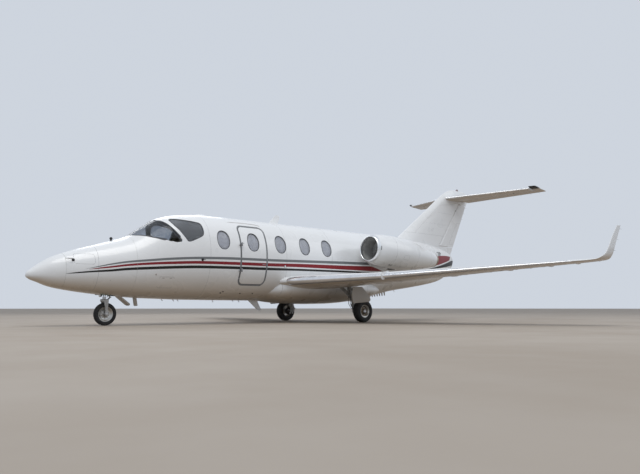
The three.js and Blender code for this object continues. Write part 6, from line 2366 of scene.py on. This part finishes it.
kit = Kit()
ball_foot = float(hull.sizes(BALL_STATION)[0])
ball_base = [(0, 26), (8, 25), (11, 16), (30, 15)]
turned(kit, (x_at(BALL_STATION), 0, ball_foot - 6), UP, ball_base, 24, FITTINGS.plastic)
ball_angles = np.linspace(0.02, math.pi - 0.02, 14)
ball = [(BALL_RADIUS * (1 - math.cos(a)), BALL_RADIUS * math.sin(a)) for a in ball_angles]
turned(kit, (x_at(BALL_STATION), 0, ball_foot + 14), UP, ball, 28, FITTINGS.plastic)
for rows in AERIALS:
    rings = [foil_ring((x_at(s), 0, z), chord, thick, AFTWARD, TO_PORT) for s, z, chord, thick in rows]
    loft(kit, rings, FITTINGS.white)
for side in (PORT, STARBOARD):
    # Pitot tube: base, arm and the probe that looks forward
    base = [(0, 30), (6, 29), (8, 22)]
    foot, out = fitting(kit, 745, 1259, side, base, 24, FITTINGS.plastic, 4)
    arm = foot + out * 52 + (28, 0, 0)
    tube(kit, [foot, foot + out * 30 + (4, 0, 0), arm], [15, 11, 9], 14, FITTINGS.plastic, 4)
    tube(kit, [arm + (x, 0, 0) for x in (-34, 0, 70, 118)], [8, 10, 9, 6], 16, FITTINGS.steel)
    # Air-flow vane on its disc, static plates, vents
    disc = [(0, 30), (5, 29), (6, 25), (4.5, 24)]
    foot, out = fitting(kit, 3285, 1368, side, disc, 28, FITTINGS.plastic)
    vane = [foot, foot + out * 26, foot + out * 30 - (60, 0, 0)]
    tube(kit, vane, [7, 6, 4], 12, FITTINGS.plastic)
    for station, height, size in STATIC_PLATES:
        disc = [(0, size), (3.2, size - 1), (3.6, size - 4)]
        fitting(kit, station, height, side, disc, 24, FITTINGS.steel, 2)
    for station, height, size in VENTS:
        vent = [(0, size), (12, size * 0.8), (15, size * 0.5)]
        fitting(kit, station, height, side, vent, 22, FITTINGS.plastic)
    fitting(kit, 3985, 712, side, [(0, 13), (16, 11), (20, 6)], 20, FITTINGS.plastic)
    # Hatches: their edges and flush latches
    for s0, s1, z0, z1 in HATCHES:
        loop = rounded_outline([[s0, z0], [s1, z0], [s1, z1], [s0, z1]], 26)
        hull_line(kit, [*loop, loop[0]], side, 4.5, FITTINGS.seam)
        for share in (0.25, 0.75):
            station = s0 + (s1 - s0) * share
            latch = [(station + d, z1 - 26) for d in (-24, 0, 24)]
            hull_line(kit, latch, side, 15, FITTINGS.steel, 0.8)
    # Cooling-air outlet under the fin's root, its hood
    for station in range(11960, 12105, 36):
        louvre = [(station, 1955), (station + 22, 2000), (station + 40, 2045)]
        hull_line(kit, louvre, side, 15, FITTINGS.plastic, 2.0)
    hood = [(11930, 2062), (12020, 2068), (12120, 2064), (12160, 2040)]
    hull_line(kit, hood, side, 14, FITTINGS.plastic, 9.0)
    # Wing inspection light
    light = [(0, 26), (3, 26), (5, 22), (9, 14), (10, 3)]
    light_mats = [FITTINGS.plastic, FITTINGS.plastic, FITTINGS.chrome]
    fitting(kit, 5510, 1318, side, light, 28, light_mats, 2)
# Drains, the closed doors of the nose bay and a row of small teeth under the tail
for station, y, reach in DRAINS:
    low = hull.bottom(station)
    path = ((0, 20), (8, -reach * 0.4), (34, -reach))
    tube(kit, [(x_at(station + d), y, low + z) for d, z in path], [10, 8, 6], 12, FITTINGS.steel, 4)
for y in (-BAY_DOORS_HALF, 0, BAY_DOORS_HALF):
    stations = np.linspace(BAY_DOORS_ENDS[0], BAY_DOORS_ENDS[-1], 14)
    ribbon(kit, [under_hull(s, y) for s in stations], DOWN, 5, FITTINGS.seam, 0.8, 2.5)
for station in BAY_DOORS_ENDS:
    places = np.linspace(-BAY_DOORS_HALF, BAY_DOORS_HALF, 8)
    ribbon(kit, [under_hull(station, y) for y in places], DOWN, 5, FITTINGS.seam, 0.8, 2.5)
for k in range(7):
    station = TOOTH_START + TOOTH_STEP * k
    low, tip = hull.bottom(station + 50) + 30, 654 + 0.086 * TOOTH_STEP * k
    tooth = [[station, low], [station + 46, low], [station + 52, tip], [station + 34, tip + 4]]
    plate(kit, tooth, (NOSE_X, 0, 0), AFTWARD, UP, 26, FITTINGS.panel, 3)
# Air outlet under each pylon: a slot in a raised surround
slot = [(s, 1404 + (s - 9070) * 0.05) for s in np.linspace(9010, 9590, 13)]
for side in (PORT, STARBOARD):
    hull_line(kit, slot, side, 92, FITTINGS.white, 4.0)
    hull_line(kit, slot[2:-2], side, 40, FITTINGS.plastic, 5.5)
kit.piece("fuselage_fittings", "airframe", "fairing_paint", FITTINGS.looks)

# Cushions

CUSHION = Palette(leather=LEATHER, piping=PIPING, thread=THREAD)
ROLL = 0.34
GRID_LINES = 27
CHANNEL_LINES = (-0.07, -0.045, -0.025, -0.01, 0.01, 0.025, 0.045, 0.07)
CHANNEL_CLEAR = 0.09
CORNER_PULL, SIDE_PULL, CROWN = 0.075, 0.045, 0.3
WELT_RADIUS = 3.6
STITCH_REACH, STITCH_STEP = 1.7, 11


def spaced(channels=()):
    """Grid lines from -1 to 1, closer at the ends and round each sewn channel."""
    lines = np.sin(np.linspace(-1, 1, GRID_LINES) * math.pi / 2)
    for channel in channels:
        lines = lines[np.abs(lines - channel) > CHANNEL_CLEAR]
    return np.sort(np.concatenate([lines, [c + d for c in channels for d in CHANNEL_LINES]]))


class Cushion:
    """A stuffed form: crowned face, flatter back, sides pulled in between the corners."""

    def __init__(self, centre, across, along, half, channels=()):
        self.centre = np.asarray(centre, float)
        self.across, self.along = (np.asarray(k, float) for k in (across, along))
        self.face = np.cross(self.across, self.along)
        self.half, self.channels = half, channels

    def height(self, a, b, front):
        size = np.minimum((np.abs(a) ** 8 + np.abs(b) ** 8) ** 0.125, 1.0)
        roll = np.sqrt(1 - np.clip((size - 1 + ROLL) / ROLL, 0, 1) ** 2)
        if not front:
            return -self.half[2] * 0.85 * roll
        dome = (1 - a**2) * (1 - b**2)
        up = self.half[2] * roll * (1 - CROWN + CROWN * dome)
        for channel in self.channels:
            up = up - self.half[2] * 0.22 * roll * np.exp(-(((b - channel) / 0.035) ** 2))
        slack = 0.018 * np.sin(7 * a + 2.2 * b) * np.sin(5 * b - 1.3 * a)
        return up + self.half[2] * slack * roll

    def at(self, a, b, front=True, lift=0.0):
        a, b = np.asarray(a, float), np.asarray(b, float)
        corner = 1 - CORNER_PULL * np.abs(a * b) ** 5
        u = self.half[0] * a * (1 - SIDE_PULL * (1 - b**2)) * corner
        v = self.half[1] * b * (1 - SIDE_PULL * (1 - a**2)) * corner
        w = self.height(a, b, front) + lift
        return self.centre + u[..., None] * self.across + v[..., None] * self.along + w[..., None] * self.face

    def build(self, kit):
        a, b = np.meshgrid(spaced(), spaced(self.channels), indexing="ij")
        rows, columns = a.shape
        upper = np.arange(rows * columns).reshape(rows, columns)
        lower, inner = upper.copy(), (slice(1, -1), slice(1, -1))
        lower[inner] = rows * columns + np.arange((rows - 2) * (columns - 2)).reshape(rows - 2, -1)
        sides = (self.at(a, b), self.at(a, b, False)[inner])
        faces = []
        for i, j in product(range(rows - 1), range(columns - 1)):
            cell = [(i, j), (i + 1, j), (i + 1, j + 1), (i, j + 1)]
            faces.append([int(upper[k]) for k in cell])
            faces.append([int(lower[k]) for k in cell[::-1]])
        kit.add(np.concatenate([side.reshape(-1, 3) for side in sides]), faces, CUSHION.leather)
        self.welt(kit)
        self.stitches(kit)
        return kit

    def welt(self, kit):
        """The piped seam round the edge."""
        t = np.linspace(-1, 1, 17)[:-1]
        one = np.ones_like(t)
        path = self.at(np.concatenate([t, one, -t, -one]), np.concatenate([-one, t, one, -t]))
        out = path - self.centre
        out -= (out @ self.face)[:, None] * self.face
        out /= np.linalg.norm(out, axis=1, keepdims=True)
        rings = [p + WELT_RADIUS * circle(8, o, self.face) for p, o in zip(path, out)]
        loft(kit, [*rings, rings[0]], CUSHION.piping, False)

    def stitches(self, kit):
        """A row of stitches beside each channel."""
        count = int(self.half[0] * STITCH_REACH / STITCH_STEP)
        step = STITCH_REACH / count
        for channel, k in product(self.channels, range(count)):
            a = step * k - STITCH_REACH / 2
            ends = self.at([a, a + 0.6 * step], [channel + 0.062] * 2, True, 0.5)
            tube(kit, ends, 0.9, 4, CUSHION.thread)


# Seats

STANDING = 870.35
SEAT = Palette(
    shell=SHELL, plastic=BLACK_PLASTIC, steel=STEEL, leather=LEATHER, piping=PIPING, hose=HOSE
)
# Name, station, middle y, half width, facing (1 looks forward), arms, CAD node
SEATS = [
    ("pilot_seat", 3150, 360, 200, 1, False, "pilot_seat"),
    ("copilot_seat", 3150, -360, 200, 1, False, "copilot_seat"),
]
for row, station, facing in (("front", 5450, -1), ("middle", 6650, 1), ("rear", 7650, 1)):
    for name, side in SIDES:
        SEATS.append((f"{row}_{name}_seat", station, side * 405, 215, facing, True, "cabin_seats"))
ARM = 40
# In a seat's side view: distance aft of its middle, height over the floor
LEAN = np.array([0.2020, 0.9794])
BEHIND = np.array([LEAN[1], -LEAN[0]])
BACK_FOOT = np.array([170.0, 450.0])
BACK_MIDDLE = BACK_FOOT + LEAN * 236 + BEHIND * 38
HEAD_MIDDLE = BACK_FOOT + LEAN * 556 + BEHIND * 36
SHELL_SIDE = [[238, 396], [298, 385], [340, 720], [378, 1064], [366, 1060], [300, 730]]
PAN_SIDE = [[-212, 386], [-150, 341], [120, 341], [297, 381]]
PAN_SIDE += [[292, 391], [158, 352], [-148, 352], [-204, 392]]
BASE_SIDE = [[-128, 1], [98, 1], [104, 120], [117, 340], [-147, 340], [-134, 120]]
ARM_SIDE = [[-190, 352], [160, 356], [196, 480], [206, 604]]
ARM_SIDE += [[60, 612], [-150, 606], [-176, 590], [-192, 480]]
# Aft, height, share of the cushion's half width
BELT = ((130, 470, -0.9), (100, 480, -0.5), (70, 484, 0), (100, 480, 0.5), (130, 470, 0.9))


def add_seat(name, station, middle_y, half, facing, arms, node):
    origin = np.array([x_at(station), middle_y, STANDING])
    aft, up = np.array([-facing, 0.0, 0.0]), np.array(UP, float)
    wide = half - (ARM if arms else 6)

    def place(o, h, y=0.0):
        return origin + aft * o + up * h + np.array([0, y, 0])

    # Middle in the side view, direction of the length, half sizes, channels
    lean = aft * LEAN[0] + up * LEAN[1]
    tilt = aft * 0.9986 - up * 0.052
    soft = (
        ("cushion", (-32, 408), tilt, (wide, 194, 52), (-0.42, 0.05, 0.5)),
        ("back", BACK_MIDDLE, lean, (wide, 222, 38), (-0.5, -0.05, 0.42)),
        ("headrest", HEAD_MIDDLE, lean, (min(wide, 135), 76, 34), ()),
    )
    for part, middle, length, size, channels in soft:
        kit = Cushion(place(*middle), (0, -facing, 0), length, size, channels).build(Kit())
        looks = CUSHION.looks
        piece = kit.piece(f"{name}_{part}", "airframe", "seat_leather", looks, [node], 50)
    kit = Kit()
    span = 2 * half - 14
    plate(kit, SHELL_SIDE, origin, aft, up, span, SEAT.shell, 5)
    plate(kit, PAN_SIDE, origin, aft, up, span, SEAT.shell, 2)
    plate(kit, BASE_SIDE, origin, aft, up, 1.2 * half, SEAT.plastic, 9)
    block(kit, place(-150, 1, -half * 0.8), place(120, 12, half * 0.8), 3, SEAT.steel)
    for y in (-half * 0.45, half * 0.45):
        tube(kit, [place(330, 960, y), place(318, 1030, y)], 7, 12, SEAT.steel)
    for side in SIGNS:
        if arms:
            y = side * (half - ARM / 2 + 4)
            plate(kit, ARM_SIDE, place(0, 0, y), aft, up, ARM - 10, SEAT.leather, 8)
            piping = [place(-120, 614, y), place(20, 617, y), place(150, 612, y)]
            tube(kit, piping, [6, 9, 6], 12, SEAT.piping, 4)
        else:
            y = side * (half - 16)
            rest = [place(196, 470, y), place(180, 600, y), place(40, 612, y), place(-60, 612, y)]
            tube(kit, rest, [9, 12, 15, 13], 14, SEAT.leather, 6)
    # Lap belt with its buckle
    belt = [place(o, h, wide * share) for o, h, share in BELT]
    ribbon(kit, smooth_curve(belt, 6), up, 44, SEAT.hose, 1.2, 1.2)
    block(kit, place(48, 481, -26), place(94, 494, 26), 3, SEAT.steel)
    kit.piece(f"{name}_frame", "airframe", "seat_leather", SEAT.looks, [node])


for seat in SEATS:
    add_seat(*seat)

# Seat rails
RAIL_Y, RAIL_ENDS = 410, (5000, 7900)


def floor_bar(kit, stations, ys, height, bevel):
    low, high = (x_at(stations[1]), ys[0], STANDING), (x_at(stations[0]), ys[1], STANDING + height)
    block(kit, low, high, bevel)


kit = Kit()
for side in (PORT, STARBOARD):
    for y in (side * (RAIL_Y - 7), side * (RAIL_Y + 7)):
        floor_bar(kit, RAIL_ENDS, (y - 4, y + 4), 14, 1.5)
    floor_bar(kit, RAIL_ENDS, (side * RAIL_Y - 10, side * RAIL_Y + 10), 4, 1)
for station in (6402, 6420):
    floor_bar(kit, (station, station + 16), (-396, 396), 10, 2)
kit.piece("seat_rails", "airframe", "gear_steel", [STEEL], ["cabin_seats"])

# Instrument panel: fascia, glare shield, displays, dials, yokes and pedestal

PANEL = Palette(
    grey=PANEL_GREY, shield=SHIELD, plastic=BLACK_PLASTIC, screen=screen.mat, steel=STEEL, mark=THREAD
)
PANEL_SIDE = [[2332, 1122], [2332, 1604], [2590, 1630], [2597, 1560], [2518, 1122]]
PANEL_HALF, SHIELD_HALF = 556, 558
SHIELD_SIDE = [(2334, 1600), (2334, 1611), (2450, 1626), (2580, 1640)]
SHIELD_SIDE += [(2614, 1639), (2620, 1628), (2612, 1614), (2590, 1604)]
FACE_TOP, FACE_DROP = np.array([2599.0, 1560.0]), np.array([-80.0, -440.0])
FACE_UP = np.array([-0.179, 0.0, 0.984])
FACE_OUT = np.array([-0.984, 0.0, -0.179])
DIAL = [(0, 40), (8, 40), (10, 36), (5, 34), (5, 3), (7, 2)]
KNOB = [(0, 13), (9, 12), (11, 9), (22, 8), (24, 5)]
SWITCH = [(0, 7), (5, 6), (6, 3), (18, 2.4), (20, 1)]
YOKE = [(-118, 74), (-128, 20), (-104, -34), (-50, -26), (0, -4), (50, -26), (104, -34), (128, 20)]
YOKE += [(118, 74)]


def on_face(y, share, lift=0.0):
    """A place on the fascia, a share of its height down from the top."""
    station, height = FACE_TOP + FACE_DROP * share
    return np.array([x_at(station), y, height]) + FACE_OUT * lift


def face_plate(kit, y, half_y, half_z, thick, mat, lift, corner):
    corners = [[-half_y, -half_z], [half_y, -half_z], [half_y, half_z], [-half_y, half_z]]
    outline = rounded_outline(corners, corner)
    plate(kit, outline, on_face(y, 0.3, lift), TO_PORT, FACE_UP, thick, mat, 1.5)


def between_stations(kit, s0, s1, y0, y1, z0, z1, bevel, mat):
    block(kit, (x_at(s1), y0, z0), (x_at(s0), y1, z1), bevel, mat)


kit = Kit()
plate(kit, PANEL_SIDE, (NOSE_X, 0, 0), AFTWARD, UP, 2 * PANEL_HALF, PANEL.grey, 6)
rings = []
for y in np.linspace(-SHIELD_HALF, SHIELD_HALF, 25):
    sink = 26 * (abs(y) / SHIELD_HALF) ** 4
    rings.append([[x_at(s), y, z - sink] for s, z in SHIELD_SIDE])
loft(kit, rings, PANEL.shield)
for y in (-390, -165, 165, 390):
    face_plate(kit, y, 104, 78, 16, PANEL.plastic, 5, 8)
    face_plate(kit, y, 90, 64, 4, PANEL.screen, 13.5, 5)
    for key in range(y - 78, y + 79, 26):
        block(kit, on_face(key - 8, 0.49, 16), on_face(key + 8, 0.475, 8), 1.5, PANEL.grey)
dial_mats = [PANEL.plastic] * 3 + [PANEL.screen, PANEL.steel]
for share in (0.2, 0.42, 0.64):
    middle = on_face(0, share, 2)
    turned(kit, middle, FACE_OUT, DIAL, 36, dial_mats)
    for out in circle(12, TO_PORT, FACE_UP):
        mark = [middle + FACE_OUT * 5.6 + out * reach for reach in (26, 32)]
        tube(kit, mark, 0.9, 4, PANEL.mark)
for y in (-470, -360, -250, -60, 60, 250, 360, 470):
    turned(kit, on_face(y, 0.66), FACE_OUT, KNOB, 20, PANEL.plastic)
for y in range(-500, 501, 40):
    turned(kit, on_face(y, 0.8), FACE_OUT, SWITCH, 12, PANEL.steel)
for y in (360, -360):
    column = [on_face(y, 0.78, -5), (x_at(2640), y, 1228), (x_at(2700), y, 1236)]
    tube(kit, column, 17, 18, PANEL.steel)
    wheel = [(x_at(2712), y + a, 1240 + b) for a, b in YOKE]
    tube(kit, wheel, [12, 15, 15, 12, 14, 12, 15, 15, 12], 14, PANEL.plastic, 6)
    hub = [(0, 30), (24, 30), (30, 22), (31, 4)]
    turned(kit, (x_at(2694), y, 1238), AFTWARD, hub, 28, PANEL.plastic)
    for foot in (y - 95, y + 95):
        between_stations(kit, 2486, 2500, foot - 42, foot + 42, 925, 1010, 4, PANEL.steel)
        tube(kit, [(x_at(2490), foot, 970), (x_at(2440), foot, 1130)], 9, 10, PANEL.steel)
# Pedestal with its levers, key pads and knobs
between_stations(kit, 2382, 3018, -128, 128, STANDING, 1172, 14, PANEL.grey)
between_stations(kit, 2640, 3000, -112, 112, 1166, 1180, 5, PANEL.plastic)
for y in (-26, 26):
    lever = [(x_at(2716), y, 1160), (x_at(2704), y, 1232), (x_at(2700), y, 1262)]
    tube(kit, lever, [6, 6, 5], 10, PANEL.steel)
    between_stations(kit, 2686, 2716, y - 20, y + 20, 1256, 1278, 7, PANEL.plastic)
knob = [(0, 11), (9, 10), (11, 7), (17, 6)]
for station in (2780, 2850, 2920):
    for y in (-100, 6):
        between_stations(kit, station, station + 46, y, y + 94, 1178, 1185, 2, PANEL.grey)
    for y in (-84, -22, 22, 84):
        turned(kit, (x_at(station + 23), y, 1184), UP, knob, 16, PANEL.plastic)
    for y in (-66, 40):
        between_stations(kit, station + 12, station + 34, y, y + 26, 1184, 1187, 1, PANEL.screen)
kit.piece("instrument_panel_fascia", "airframe", "panel_plastic", PANEL.looks, ["instrument_panel"])

visual_low, visual_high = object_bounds()
plain = lambda corner: [float(value) for value in corner]
({
        "cad": [plain(cad_low), plain(cad_high)],
        "visual": [plain(visual_low), plain(visual_high)],
    })
